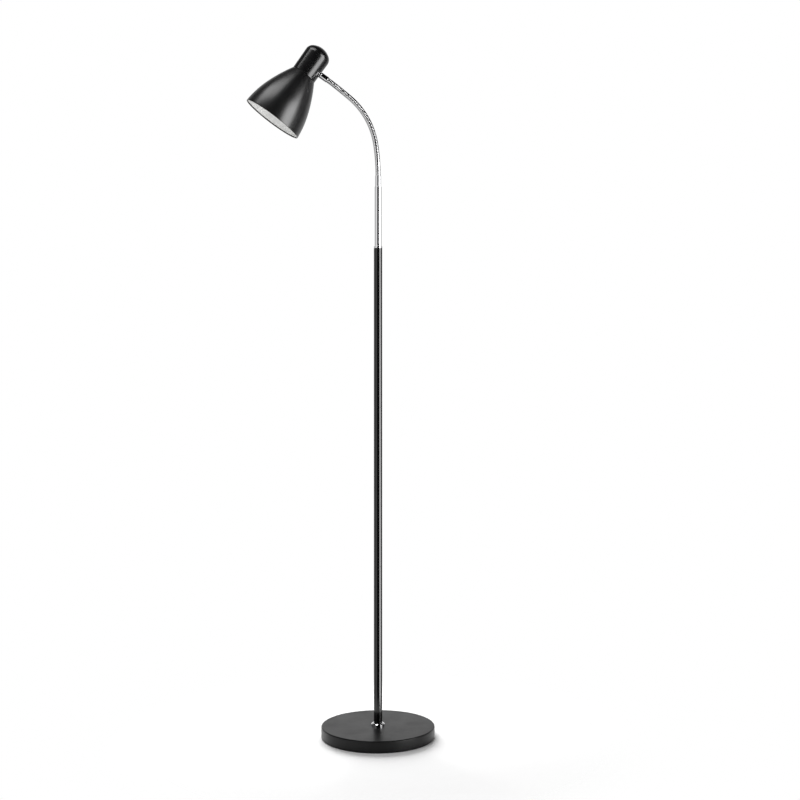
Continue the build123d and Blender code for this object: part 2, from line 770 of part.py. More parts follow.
with BuildPart() as bracket_screws:
    for side in (-1, 1):
        with BuildSketch(across_head(foot_top)):
            with Locations((bracket_screw_place, side * bracket_screw_spread)):
                Circle(bracket_screw_head)
        extrude(amount=bracket_screw_head * 0.6)
        with BuildSketch(across_head(foot_top)):
            with Locations((bracket_screw_place, side * bracket_screw_spread)):
                Circle(bracket_screw_radius)
        extrude(amount=-(bracket_thickness + bracket_screw_depth))
keep(bracket_screws, "bracket_screws")

with BuildPart() as lampholder_shell:
    with BuildSketch(head_plane):
        ring_section(shell_inside, shell_inside + shell_wall, holder_front + 1, chamber_mouth)
        ring_section(contact_chamber_radius, shell_inside, chamber_mouth - shell_wall, chamber_mouth)
    revolve(axis=head_axis)
keep(lampholder_shell, "lampholder_shell")

# A spring strip: two feet on the chamber's floor and a bridge that meets the bulb
with BuildPart() as centre_contact:
    foot_outer = contact_chamber_radius - contact_margin
    foot_inner = foot_outer - contact_foot_length
    bridge = foot_inner - contact_slope
    with BuildSketch(head_plane):
        with BuildLine():
            Polyline(
                (-foot_outer, chamber_floor),
                (-foot_outer, chamber_floor - contact_strip),
                (-foot_inner, chamber_floor - contact_strip),
                (-bridge, bulb_contact_top),
                (bridge, bulb_contact_top),
                (foot_inner, chamber_floor - contact_strip),
                (foot_outer, chamber_floor - contact_strip),
                (foot_outer, chamber_floor),
                (foot_inner - contact_strip / 2, chamber_floor),
                (bridge - contact_strip / 2, bulb_contact_top + contact_strip),
                (-bridge + contact_strip / 2, bulb_contact_top + contact_strip),
                (-foot_inner + contact_strip / 2, chamber_floor),
                (-foot_outer, chamber_floor),
            )
        make_face()
    extrude(amount=contact_strip_width / 2, both=True)
keep(centre_contact, "centre_contact")

with BuildPart() as shade_ring:
    with BuildSketch(head_plane):
        ring_section(
            holder_thread_radius + press_clearance,
            shade_ring_radius,
            flange_underside - shade_ring_height,
            flange_underside,
        )
    revolve(axis=head_axis)
    with BuildSketch(across_head(flange_underside - shade_ring_height)):
        with PolarLocations(shade_ring_radius, shade_ring_notches):
            Rectangle(notch_depth * 2, notch_width)
    extrude(amount=shade_ring_height * 0.6, mode=Mode.SUBTRACT)
keep(shade_ring, "shade_ring")

# ---- Bulb ----

with BuildPart() as bulb_dome:
    with BuildSketch(head_plane):
        with BuildLine():
            inner_radius = bulb_radius - bulb_wall
            outer_arc = CenterArc((0, bulb_middle), bulb_radius, 270, 90)
            inner_arc = CenterArc((0, bulb_middle), inner_radius, 270, 90)
            Line(outer_arc @ 0, inner_arc @ 0)
            Line(outer_arc @ 1, inner_arc @ 1)
        make_face()
    revolve(axis=head_axis)
keep(bulb_dome, "bulb_dome")

with BuildPart() as bulb_body:
    spigot_radius = bulb_cap_radius - bulb_cap_wall - press_clearance
    with BuildSketch(head_plane):
        with BuildLine():
            rim = Line((bulb_radius, bulb_middle), (bulb_radius, bulb_middle + bulb_rim))
            flank = TangentArc(rim @ 1, (bulb_neck_radius, bulb_cap_bottom), tangent=rim % 1)
            Polyline(
                flank @ 1,
                (spigot_radius, bulb_cap_bottom),
                (spigot_radius, bulb_cap_bottom + bulb_spigot),
                (0, bulb_cap_bottom + bulb_spigot),
                (0, bulb_middle),
                rim @ 0,
            )
        make_face()
    revolve(axis=head_axis)
    mouth = faces().filter_by(GeomType.PLANE).sort_by(head_axis)[0]
    offset(amount=-bulb_wall, openings=mouth)
keep(bulb_body, "bulb_body")

with BuildPart() as led_board:
    with BuildSketch(head_plane):
        ring_section(
            0, bulb_radius - bulb_wall - slip_clearance / 2, bulb_middle, bulb_middle + led_board_thickness
        )
    revolve(axis=head_axis)
keep(led_board, "led_board")

with BuildPart() as bulb_screw_cap:
    with BuildSketch(head_plane):
        ring_section(bulb_cap_radius - bulb_cap_wall, bulb_cap_radius, bulb_cap_bottom, bulb_cap_top)
    revolve(axis=head_axis)
keep(bulb_screw_cap, "bulb_screw_cap")

with BuildPart() as bulb_insulator:
    insulator_top = bulb_cap_top + bulb_insulator_height
    with BuildSketch(head_plane):
        with BuildLine():
            Polyline(
                (0, bulb_cap_top),
                (bulb_cap_radius, bulb_cap_top),
                (bulb_contact_radius + 1, insulator_top),
                (0, insulator_top),
                (0, bulb_cap_top),
            )
        make_face()
    revolve(axis=head_axis)
keep(bulb_insulator, "bulb_insulator")

with BuildPart() as bulb_contact:
    with BuildSketch(head_plane):
        ring_section(0, bulb_contact_radius, insulator_top, bulb_contact_top)
    revolve(axis=head_axis)
    fillet(edges().filter_by(GeomType.CIRCLE).sort_by(head_axis)[-1], bulb_contact_height / 2)
keep(bulb_contact, "bulb_contact")

# ---- Lead inside the lamp, from the grommet to the lampholder ----


def sweep_lead(path):
    """Sweep the lead's round section along a path."""
    with BuildSketch(Plane(origin=path @ 0, z_dir=path % 0)) as section:
        Circle(lead_radius)
    sweep(section.sketch, path=path)


with BuildPart() as lead_in_pole:
    with BuildLine() as route:
        FilletPolyline(
            (0, wall_inside - grommet_lip, lead_height), (0, 0, lead_height), (0, 0, hose_start), radius=lead_bend
        )
    sweep_lead(route.wire())
keep(lead_in_pole, "lead_in_pole")

# Each bend takes as large an arc as its two runs allow.
neck_route = [Vector(0, 0, hose_start)] + pivots
neck_route.append(neck_tip + lean_direction(neck_end_lean) * nipple_stop)
bend_radii = []
for before, corner, after in zip(neck_route, neck_route[1:], neck_route[2:]):
    turn = radians((corner - before).get_angle(after - corner))
    shorter = min((corner - before).length, (after - corner).length)
    bend_radii.append(0.45 * shorter / tan(turn / 2))
print("lead in neck: smallest bend", round(min(bend_radii), 1), "mm")

with BuildPart() as lead_in_neck:
    with BuildLine() as route:
        FilletPolyline(*neck_route, radius=bend_radii)
    sweep_lead(route.wire())
keep(lead_in_neck, "lead_in_neck")

with BuildPart() as lead_in_head:
    with BuildLine(head_plane) as route:
        FilletPolyline(
            (nipple_end, nipple_height), (-lead_entry, nipple_height), (-lead_entry, chamber_floor), radius=lead_bend
        )
    sweep_lead(route.wire())
keep(lead_in_head, "lead_in_head")

head_top = lamp_cap.part.bounding_box().max.Z
print("height", round(head_top, 1), "mm; hose pitch", round(joint_pitch, 3), "mm, ribs", round(rib_pitch, 2), "mm")
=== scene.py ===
"""Gooseneck reading floor lamp: turned shells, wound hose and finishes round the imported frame.

Every size is in metres, in the frame's own axes: +Z up along the pole, -X towards the head,
+Y to the back. Shapes are surfaces of two parameters, worked out as whole numpy arrays.
"""

from __future__ import annotations

import json
import logging
import math
from dataclasses import dataclass
from enum import Enum

import bmesh
import bpy
import numpy as np
from bpy.types import Material, Mesh, Node, NodeSocket, NodeTree, Object, Scene, bpy_prop_collection
from mathutils import Matrix, Vector

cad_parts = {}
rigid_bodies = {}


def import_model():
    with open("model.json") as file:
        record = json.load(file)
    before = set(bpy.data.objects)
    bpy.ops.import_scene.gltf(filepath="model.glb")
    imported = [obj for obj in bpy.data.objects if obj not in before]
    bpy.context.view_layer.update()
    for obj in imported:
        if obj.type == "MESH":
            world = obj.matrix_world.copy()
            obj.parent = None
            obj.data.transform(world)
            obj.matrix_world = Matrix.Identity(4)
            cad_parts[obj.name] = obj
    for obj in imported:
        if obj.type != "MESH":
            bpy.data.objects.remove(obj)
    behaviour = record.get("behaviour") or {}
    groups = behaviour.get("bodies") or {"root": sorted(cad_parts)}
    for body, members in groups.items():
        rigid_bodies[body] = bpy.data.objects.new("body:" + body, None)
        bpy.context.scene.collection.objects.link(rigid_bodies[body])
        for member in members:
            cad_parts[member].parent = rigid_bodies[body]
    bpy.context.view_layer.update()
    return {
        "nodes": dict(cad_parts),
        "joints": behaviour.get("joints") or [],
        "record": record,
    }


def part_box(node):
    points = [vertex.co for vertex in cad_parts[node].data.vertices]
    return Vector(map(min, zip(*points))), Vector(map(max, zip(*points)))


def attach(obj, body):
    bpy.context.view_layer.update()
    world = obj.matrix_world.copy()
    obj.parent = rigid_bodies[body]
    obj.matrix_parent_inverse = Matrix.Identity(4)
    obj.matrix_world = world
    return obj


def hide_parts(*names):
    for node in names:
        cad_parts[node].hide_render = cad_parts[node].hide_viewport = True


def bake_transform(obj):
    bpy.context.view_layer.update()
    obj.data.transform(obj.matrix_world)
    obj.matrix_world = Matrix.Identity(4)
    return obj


log = logging.getLogger("lamp")

MM = 0.001
UP = np.array([0.0, 0.0, 1.0])
BACK = np.array([0.0, 1.0, 0.0])
SMOOTH_ANGLE = math.radians(32)
MERGE_DISTANCE = 2e-7
SLIVER = 1e-8
MOTTLE_SPAN = (0.3, 0.7)
HORIZON = (-0.1, 0.1)


# ---------------------------------------------------------------- outlines


def arc(start: tuple[float, float], tangent: np.ndarray, end: tuple[float, float], steps: int) -> np.ndarray:
    """Points on the circular arc that leaves start along tangent and reaches end.

    The curvature is twice the end's offset across the tangent over the chord squared, and a
    point at distance s is start + sin(ks)/k along the tangent + (1 - cos(ks))/k across it.

    Args:
        start: first point, as radius and height.
        tangent: direction of the arc at its start.
        end: last point.
        steps: number of spans.

    Returns:
        Array of steps + 1 points.
    """
    first, last = np.array(start, float), np.array(end, float)
    along = np.array(tangent, float) / np.linalg.norm(tangent)
    across = np.array([-along[1], along[0]])
    chord = last - first
    share = np.linspace(0.0, 1.0, steps + 1)[:, None]
    curvature = 2.0 * (chord @ across) / (chord @ chord)
    if abs(curvature) < 1e-9:
        return first + share * chord
    sweep = 2.0 * math.atan2(chord @ across, chord @ along)
    turn = share * sweep
    return first + np.sin(turn) / curvature * along + (1.0 - np.cos(turn)) / curvature * across


def bowed_arc(start: tuple[float, float], end: tuple[float, float], bow: float, steps: int) -> np.ndarray:
    """Points on an arc that stands bow to the right of its chord, seen from start to end.

    The arc's half sweep is twice the arctangent of 2 * bow / chord, and its first tangent is
    the chord turned by that angle.

    Args:
        start: first point, as radius and height.
        end: last point.
        bow: greatest distance from the chord.
        steps: number of spans.

    Returns:
        Array of steps + 1 points.
    """
    chord = np.array(end, float) - np.array(start, float)
    half = 2.0 * math.atan(2.0 * bow / float(np.linalg.norm(chord)))
    turn = np.array([[math.cos(half), math.sin(half)], [-math.sin(half), math.cos(half)]])
    return arc(start, turn @ chord, end, steps)


def rounded(corners: list[tuple[float, float, float]], steps: int = 6) -> np.ndarray:
    """Closed outline through corners, each rounded by its own radius.

    A fillet of radius f at a corner whose edges meet at angle 2a has its centre f / sin(a)
    along the bisector, and its points turn evenly about that centre between both edges.

    Args:
        corners: radius, height and fillet of each corner, in order.
        steps: spans in each fillet.

    Returns:
        Array of points, radius and height.
    """
    places = np.array([c[:2] for c in corners], float)
    pieces = []
    for index, (_, _, fillet) in enumerate(corners):
        corner = places[index]
        if fillet <= 0:
            pieces.append(corner[None])
            continue
        before = places[index - 1] - corner
        after = places[(index + 1) % len(corners)] - corner
        before /= np.linalg.norm(before)
        after /= np.linalg.norm(after)
        half = 0.5 * math.acos(float(np.clip(before @ after, -1.0, 1.0)))
        bisector = (before + after) / np.linalg.norm(before + after)
        centre = corner + bisector * fillet / math.sin(half)
        first = corner + before * fillet / math.tan(half) - centre
        last = corner + after * fillet / math.tan(half) - centre
        sweep = math.pi - 2.0 * half
        share = np.linspace(0.0, 1.0, steps + 1)[:, None]
        spokes = np.sin((1 - share) * sweep) * first + np.sin(share * sweep) * last
        pieces.append(centre + spokes / math.sin(sweep))
    return np.vstack(pieces)


def inset(line: np.ndarray, depth: float) -> np.ndarray:
    """Move each point of a line to its left, square to the line there.

    Args:
        line: points, radius and height.
        depth: how far they move.

    Returns:
        The moved points.
    """
    slope = np.gradient(line, axis=0)
    slope /= np.linalg.norm(slope, axis=1)[:, None]
    return line + depth * np.stack([-slope[:, 1], slope[:, 0]], axis=1)


def supported(
    outline: np.ndarray, gap: float = 0.3 * MM, least: float = 2 * MM
) -> tuple[np.ndarray, np.ndarray]:
    """Add a point a gap from each end of every long span of a closed outline.

    Smooth shading then bends within the gap only, and the long walls mirror straight.

    Args:
        outline: points, radius and height.
        gap: distance of the added points from the span's ends.
        least: length from which a span gets them.

    Returns:
        The new points, and for each the index of the span that it stands on.
    """
    following = np.roll(outline, -1, axis=0)
    span = following - outline
    length = np.linalg.norm(span, axis=1)
    long = (length > least) & (outline[:, 0] > 0) & (following[:, 0] > 0)
    step = (gap / np.maximum(length, gap))[:, None] * span
    points = np.stack([outline, outline + step, following - step], axis=1)
    kept = np.stack([np.ones(len(outline), bool), long, long], axis=1)
    spans = np.repeat(np.arange(len(outline))[:, None], 3, axis=1)
    return points[kept], spans[kept]


# ---------------------------------------------------------------- meshes


@dataclass(frozen=True)
class TurningAxis:
    """Line that outlines turn about: along is its direction, and across is angle 0."""

    origin: np.ndarray
    along: np.ndarray
    across: np.ndarray

    def place(self, radius: np.ndarray, height: np.ndarray, angle: np.ndarray) -> np.ndarray:
        """Turn radius, height and angle into places in the frame.

        A place is origin + height * along + radius * (cos(angle) * across + sin(angle) * side).

        Args:
            radius: distances from the axis.
            height: distances along it.
            angle: turns about it from across.

        Returns:
            The places, in the shape of the angles with a last axis of 3.
        """
        side = np.cross(self.along, self.across)
        radial = np.cos(angle)[..., None] * self.across + np.sin(angle)[..., None] * side
        return self.origin + height[..., None] * self.along + radius[..., None] * radial


POLE_AXIS = TurningAxis(np.zeros(3), UP, np.array([1.0, 0.0, 0.0]))


def grid_object(
    name: str, points: np.ndarray, finishes: list[Material], bands: np.ndarray | None = None
) -> Object:
    """Make a closed object from a grid of points that wraps in both directions.

    Rows that shrink to one point, as at a pole, are merged there.

    Args:
        name: the object's name.
        points: array of rows by columns by 3.
        finishes: materials, one or more.
        bands: index of the material of the band above each row, or None for the first.

    Returns:
        The object, with outward faces, smooth but for its edges.
    """
    rows, columns = points.shape[:2]
    index = np.arange(rows * columns).reshape(rows, columns)
    index = np.vstack([index, index[:1]])
    index = np.hstack([index, index[:, :1]])
    quads = np.stack([index[:-1, :-1], index[:-1, 1:], index[1:, 1:], index[1:, :-1]], axis=-1).reshape(-1, 4)
    mesh = bpy.data.meshes.new(name)
    mesh.from_pydata(points.reshape(-1, 3).tolist(), [], quads.tolist())
    if bands is not None:
        mesh.polygons.foreach_set("material_index", np.repeat(bands, columns).astype(np.int32))
    return finished(name, mesh, finishes)


def finished(name: str, mesh: Mesh, finishes: list[Material]) -> Object:
    """Merge a mesh's doubles, face it outwards, smooth it, dress it and link it to the scene.

    Args:
        name: the object's name.
        mesh: its raw mesh.
        finishes: materials, one or more.

    Returns:
        The object, at the origin.
    """
    work = bmesh.new()
    work.from_mesh(mesh)
    bmesh.ops.remove_doubles(work, verts=work.verts, dist=MERGE_DISTANCE)
    bmesh.ops.dissolve_degenerate(work, edges=work.edges, dist=SLIVER)
    bmesh.ops.recalc_face_normals(work, faces=work.faces)
    work.to_mesh(mesh)
    work.free()
    mesh.polygons.foreach_set("use_smooth", np.ones(len(mesh.polygons), bool))
    mesh.set_sharp_from_angle(angle=SMOOTH_ANGLE)
    for finish in finishes:
        mesh.materials.append(finish)
    made = bpy.data.objects.new(name, mesh)
    bpy.context.scene.collection.objects.link(made)
    return made


def turned(
    name: str,
    outline: np.ndarray,
    axis: TurningAxis,
    slots: tuple[str, ...],
    segments: int = 96,
    bands: np.ndarray | None = None,
) -> Object:
    """Turn a closed outline about an axis: the point at angle a keeps its radius and height.

    Args:
        name: the object's name.
        outline: points, radius and height.
        axis: what they turn about.
        slots: material slots of its finishes.
        segments: steps of the turn.
        bands: index of the slot of the band above each point, or None for the first.

    Returns:
        The object.
    """
    outline, spans = supported(outline)
    bands = None if bands is None else bands[spans]
    angle = np.linspace(0.0, 2.0 * np.pi, segments, endpoint=False)
    radius = np.repeat(outline[:, :1], segments, axis=1)
    height = np.repeat(outline[:, 1:], segments, axis=1)
    points = axis.place(radius, height, np.broadcast_to(angle, radius.shape))
    return grid_object(name, points, [dressing(slot) for slot in slots], bands)


def ring_outline(
    inner: float, outer: float, low: float, high: float, edge: float, steps: int = 4
) -> np.ndarray:
    """Outline of a plain ring with its two outer edges rounded.

    Args:
        inner: radius of the bore.
        outer: radius outside.
        low: height of the lower face.
        high: height of the upper face.
        edge: fillet of both outer edges.
        steps: spans in each fillet.

    Returns:
        Array of points, radius and height.
    """
    return rounded([(inner, low, 0), (outer, low, edge), (outer, high, edge), (inner, high, 0)], steps)


def bored(piece: Object, axis: TurningAxis, radius: float, low: float, high: float) -> Object:
    """Cut a round hole through a piece.

    Args:
        piece: the object to cut.
        axis: line of the hole.
        radius: the hole's radius.
        low: where it starts along the axis.
        high: where it ends.

    Returns:
        The piece, with its mesh changed.
    """
    profile = np.array([[0, low], [radius, low], [radius, high], [0, high]])
    cutter = turned("cutter", profile, axis, (), segments=64)
    cut = piece.modifiers.new("bore", "BOOLEAN")
    cut.operation = "DIFFERENCE"
    cut.solver = "EXACT"
    cut.object = cutter
    bpy.context.view_layer.update()
    graph = bpy.context.evaluated_depsgraph_get()
    mesh = bpy.data.meshes.new_from_object(piece.evaluated_get(graph))
    piece.modifiers.clear()
    piece.data = mesh
    mesh.set_sharp_from_angle(angle=SMOOTH_ANGLE)
    bpy.data.objects.remove(cutter)
    return piece


# ---------------------------------------------------------------- finishes


class Coordinates(Enum):
    """Which coordinates a pattern or the world reads."""

    OBJECT = "Object"
    DIRECTION = "Generated"


class Passage(Enum):
    """How a value passes from one level to the next."""

    EVEN = "LINEAR"
    SMOOTH = "SMOOTHSTEP"


class Nodes:
    """A node tree that is built by short calls; each input takes a socket or a value."""

    def __init__(self, tree: NodeTree) -> None:
        """Keep the tree."""
        self.tree = tree

    def feed(self, node: Node, inputs: dict[str | int, NodeSocket | float | tuple]) -> None:
        """Link or set inputs of a node.

        Args:
            node: the node that is fed.
            inputs: a socket or a value for each input, by its name or number.
        """
        for key, given in inputs.items():
            if isinstance(given, NodeSocket):
                self.tree.links.new(given, node.inputs[key])
            else:
                node.inputs[key].default_value = given

    def add(self, kind: str, inputs: dict[str | int, NodeSocket | float | tuple]) -> Node:
        """Add a node and feed its inputs.

        Args:
            kind: the node's type, without its ShaderNode prefix.
            inputs: a socket or a value for each input, by its name or number.

        Returns:
            The node.
        """
        node = self.tree.nodes.new(f"ShaderNode{kind}")
        self.feed(node, inputs)
        return node

    def coordinates(self, which: Coordinates) -> NodeSocket:
        """Coordinates as a socket."""
        return self.add("TexCoord", {}).outputs[which.value]

    def noise(self, place: NodeSocket, scale: float, detail: float) -> NodeSocket:
        """Level of a noise texture of a scale on coordinates."""
        return self.add("TexNoise", {"Vector": place, "Scale": scale, "Detail": detail}).outputs["Fac"]

    def math(self, operation: str, first: NodeSocket | float, second: NodeSocket | float = 0.0) -> NodeSocket:
        """Value of a Math node on two numbers or sockets.

        Args:
            operation: Blender's name of it.
            first: a number or a socket.
            second: another, where it needs one.

        Returns:
            The value, as a socket.
        """
        node = self.add("Math", {0: first, 1: second})
        node.operation = operation
        return node.outputs["Value"]

    def level(
        self,
        given: NodeSocket,
        span: tuple[float, float],
        levels: tuple[float, float],
        passage: Passage = Passage.SMOOTH,
    ) -> NodeSocket:
        """Pass between two levels as a socket crosses a span.

        Args:
            given: the socket that is followed.
            span: its values where the passage starts and ends.
            levels: the level before the span and the one past it.
            passage: how the level goes from one to the other.

        Returns:
            The level, as a socket.
        """
        ends = {"From Min": span[0], "From Max": span[1], "To Min": levels[0], "To Max": levels[1]}
        node = self.add("MapRange", {"Value": given, **ends})
        node.interpolation_type = passage.value
        return node.outputs["Result"]

    def ramp(self, given: NodeSocket, stops: list[tuple[float, tuple[float, float, float]]]) -> NodeSocket:
        """Colour that a socket picks between stops.

        Args:
            given: the socket, from 0 to 1.
            stops: position and colour of each stop, in order.

        Returns:
            The colour, as a socket.
        """
        node = self.add("ValToRGB", {"Fac": given})
        elements = node.color_ramp.elements
        for index, (position, colour) in enumerate(stops):
            stop = elements[index] if index < 2 else elements.new(position)
            stop.position = position
            stop.color = (*colour, 1.0)
        return node.outputs["Color"]


@dataclass(frozen=True)
class Finish:
    """A coated, plated or moulded surface with fine mottling and a skin of small bumps.

    Attributes:
        name: the record's material slot.
        colour: base colour, linear.
        metallic: 1 for bare metal.
        roughness: mean roughness.
        spread: how far the mottling moves the roughness either way.
        specular: specular level, 0.5 for plain paint.
        skin_scale: bumps per metre.
        skin_height: height of the bumps.
        mottle_scale: patches per metre of roughness and tone.
        tone: share by which the mottling lightens and darkens the colour.
        stretch: how much the pattern is drawn out along Z, as brushing and drawing do.
    """

    name: str
    colour: tuple[float, float, float]
    metallic: float = 0.0
    roughness: float = 0.4
    spread: float = 0.04
    specular: float = 0.5
    skin_scale: float = 1500.0
    skin_height: float = 0.00001
    mottle_scale: float = 60.0
    tone: float = 0.06
    stretch: float = 1.0

    def material(self) -> Material:
        """Build the material, or return it where it exists.

        Mottling carries both the tone and the roughness; bumps stand for the skin of the coat,
        the mould or the casting.

        Returns:
            The material, named after the slot.
        """
        title = f"{self.name}_finish"
        made = bpy.data.materials.get(title)
        if made is not None:
            return made
        made = bpy.data.materials.new(title)
        made.use_nodes = True
        made.diffuse_color = (*self.colour, 1.0)
        nodes = Nodes(made.node_tree)
        drawn = {"Vector": nodes.coordinates(Coordinates.OBJECT), "Scale": (1.0, 1.0, 1.0 / self.stretch)}
        place = nodes.add("Mapping", drawn).outputs["Vector"]
        mottle = nodes.noise(place, self.mottle_scale, detail=4.0)
        skin = nodes.noise(place, self.skin_scale, detail=2.0)
        bump = nodes.add("Bump", {"Height": skin, "Strength": 1.0, "Distance": self.skin_height})
        rough = (max(self.roughness - self.spread, 0.01), self.roughness + self.spread)
        look = {
            "Metallic": self.metallic,
            "Specular IOR Level": self.specular,
            "Base Color": nodes.ramp(mottle, self.tones()),
            "Roughness": nodes.level(mottle, MOTTLE_SPAN, rough, Passage.EVEN),
            "Normal": bump.outputs["Normal"],
        }
        nodes.feed(made.node_tree.nodes["Principled BSDF"], look)
        return made

    def tones(self) -> list[tuple[float, tuple[float, float, float]]]:
        """Stops of the ramp between a darker and a lighter tone of the base colour.

        Returns:
            Position and colour of both stops.
        """
        dark = tuple(c * (1.0 - self.tone) for c in self.colour)
        light = tuple(min(c * (1.0 + self.tone), 1.0) for c in self.colour)
        return list(zip(MOTTLE_SPAN, (dark, light)))


FINISHES = {
    finish.name: finish
    for finish in (
        Finish(
            "cover_black", (0.006, 0.006, 0.0062), roughness=0.34, specular=0.22, skin_scale=1400,
            skin_height=0.000012, mottle_scale=25,
        ),
        Finish(
            "pole_black", (0.004, 0.004, 0.0042), roughness=0.12, spread=0.02, specular=0.6,
            skin_scale=900, skin_height=0.000002,
        ),
        Finish(
            "shade_black", (0.007, 0.007, 0.0072), roughness=0.3, spread=0.02, specular=0.5,
            skin_scale=1600, skin_height=0.000006, mottle_scale=30,
        ),
        Finish(
            "shade_white", (0.86, 0.86, 0.85), roughness=0.5, spread=0.05, skin_scale=1200,
            skin_height=0.00001, tone=0.015,
        ),
        Finish(
            "cap_black", (0.006, 0.006, 0.0062), roughness=0.24, spread=0.02, specular=0.45,
            skin_scale=1800, skin_height=0.000006,
        ),
        Finish(
            "tube_chrome", (0.84, 0.84, 0.85), 1.0, roughness=0.07, spread=0.02, skin_scale=500,
            skin_height=0.000001, tone=0.02, stretch=6,
        ),
        Finish(
            "hose_chrome", (0.7, 0.7, 0.705), 1.0, roughness=0.13, spread=0.03, skin_scale=900,
            skin_height=0.000003, mottle_scale=120, tone=0.05,
        ),
        Finish(
            "zinc_steel", (0.58, 0.58, 0.55), 1.0, roughness=0.34, spread=0.08, skin_scale=1200,
            skin_height=0.000006, mottle_scale=180, tone=0.12,
        ),
        Finish(
            "weight_iron", (0.06, 0.058, 0.056), roughness=0.78, spread=0.1, skin_scale=500,
            skin_height=0.00012, mottle_scale=90, tone=0.3,
        ),
        Finish(
            "pad_rubber", (0.03, 0.03, 0.031), roughness=0.82, spread=0.06, specular=0.3,
            skin_scale=900, skin_height=0.00005, tone=0.15,
        ),
        Finish(
            "grommet_rubber", (0.018, 0.018, 0.018), roughness=0.55, specular=0.35,
            skin_scale=1500, skin_height=0.00001,
        ),
        Finish(
            "washer_grey", (0.05, 0.05, 0.052), roughness=0.5, skin_scale=2000,
            skin_height=0.000006,
        ),
        Finish(
            "holder_plastic", (0.02, 0.02, 0.021), roughness=0.45, skin_scale=1500,
            skin_height=0.000012,
        ),
        Finish(
            "contact_brass", (0.78, 0.58, 0.28), 1.0, roughness=0.24, spread=0.06,
            mottle_scale=200, tone=0.1,
        ),
        Finish(
            "bulb_opal", (0.87, 0.87, 0.85), roughness=0.46, spread=0.03, skin_scale=2500,
            skin_height=0.000004, tone=0.01,
        ),
        Finish(
            "bulb_white", (0.83, 0.83, 0.82), roughness=0.3, spread=0.03, skin_scale=1600,
            skin_height=0.000006, tone=0.015,
        ),
        Finish(
            "bulb_metal", (0.72, 0.72, 0.71), 1.0, roughness=0.3, spread=0.06, mottle_scale=200,
            tone=0.08,
        ),
        Finish(
            "bulb_insulator", (0.02, 0.02, 0.022), roughness=0.18, specular=0.5,
        ),
        Finish(
            "lead_sheath", (0.022, 0.022, 0.023), roughness=0.5, spread=0.06, specular=0.35,
            skin_scale=1200, skin_height=0.00001, mottle_scale=160, tone=0.12,
        ),
    )
}


def dressing(slot: str) -> Material:
    """Material of a slot of the record."""
    return FINISHES[slot].material()


# ---------------------------------------------------------------- the lamp's parts


class Assembly:
    """A group of pieces of the lamp that are built and dressed together."""

    def add(self, piece: Object, body: str, slot: str, *nodes: str) -> Object:
        """Seat a piece on its body in place of CAD nodes, and report it.

        Args:
            piece: the finished object.
            body: body that it rides on.
            slot: the record's material slot; not used.
            nodes: CAD nodes that it stands for.

        Returns:
            The piece.
        """
        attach(piece, body)
        if nodes:
            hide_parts(*nodes)
        log.info("%s: %d faces on %s", piece.name, len(piece.data.polygons), body)
        return piece


@dataclass
class Base(Assembly):
    """Pressed cover over the cast weight, and the chrome collar at the pole's foot."""

    radius: float = 127 * MM
    height: float = 26 * MM
    wall: float = 1.2 * MM
    edge: float = 2.5 * MM
    hem: float = 1.5 * MM
    hem_bead: float = 0.45 * MM
    stud_hole: float = 5.3 * MM
    grommet_hole: float = 4.15 * MM
    lead_height: float = 9.2 * MM
    collar_radius: float = 15 * MM
    collar_height: float = 6 * MM
    collar_edge: float = 3.5 * MM
    collar_hole: float = 9.55 * MM
    collar_lip: float = 1.0 * MM
    collar_bow: float = 0.5 * MM
    collar_fillet: float = 0.5 * MM
    collar_chamfer: float = 0.2 * MM

    def build(self) -> None:
        """Build and seat the cover and the collar."""
        self.add(self.cover(), "stand", "cover_black", "base_cover")
        self.add(self.collar(), "stand", "tube_chrome", "base_collar")

    def cover(self) -> Object:
        """Pressed cover: a flat top with a rounded edge, an upright wall and a turned-in hem.

        Returns:
            The cover, bored for the lead's grommet.
        """
        inside = self.radius - self.wall
        outline = rounded(
            [
                (self.stud_hole, self.height, 0),
                (self.radius, self.height, self.edge),
                (self.radius, self.hem, self.hem_bead),
                (inside, self.hem, self.hem_bead),
                (inside, self.height - self.wall, self.edge - self.wall),
                (self.stud_hole, self.height - self.wall, 0),
            ],
            steps=10,
        )
        piece = turned("base_cover_shell", outline, POLE_AXIS, ("cover_black",), segments=256)
        inlet = TurningAxis(np.array([0.0, 0.0, self.lead_height]), BACK, UP)
        return bored(piece, inlet, self.grommet_hole, inside - 3 * self.wall, self.radius + 2 * self.wall)

    def collar(self) -> Object:
        """Collar: a short upright wall, a crowned slope and a small flat lip at the pole.

        Returns:
            The collar.
        """
        low, top = self.height, self.height + self.collar_height
        lip = (self.collar_hole + self.collar_lip, top)
        rim = np.array([[self.collar_hole, low], [self.collar_radius, low]])
        shoulder = rounded(
            [
                (self.collar_radius, low, 0),
                (self.collar_radius, low + self.collar_edge, self.collar_fillet),
                (*lip, 0),
            ]
        )[1:-1]
        crown = bowed_arc(tuple(shoulder[-1]), lip, self.collar_bow, 12)
        chamfer = np.array([
            [self.collar_hole + self.collar_chamfer, top],
            [self.collar_hole, top - self.collar_chamfer],
        ])
        outline = np.vstack([rim, shoulder, crown[1:], chamfer])
        return turned("base_collar_ring", outline, POLE_AXIS, ("tube_chrome",), segments=128)


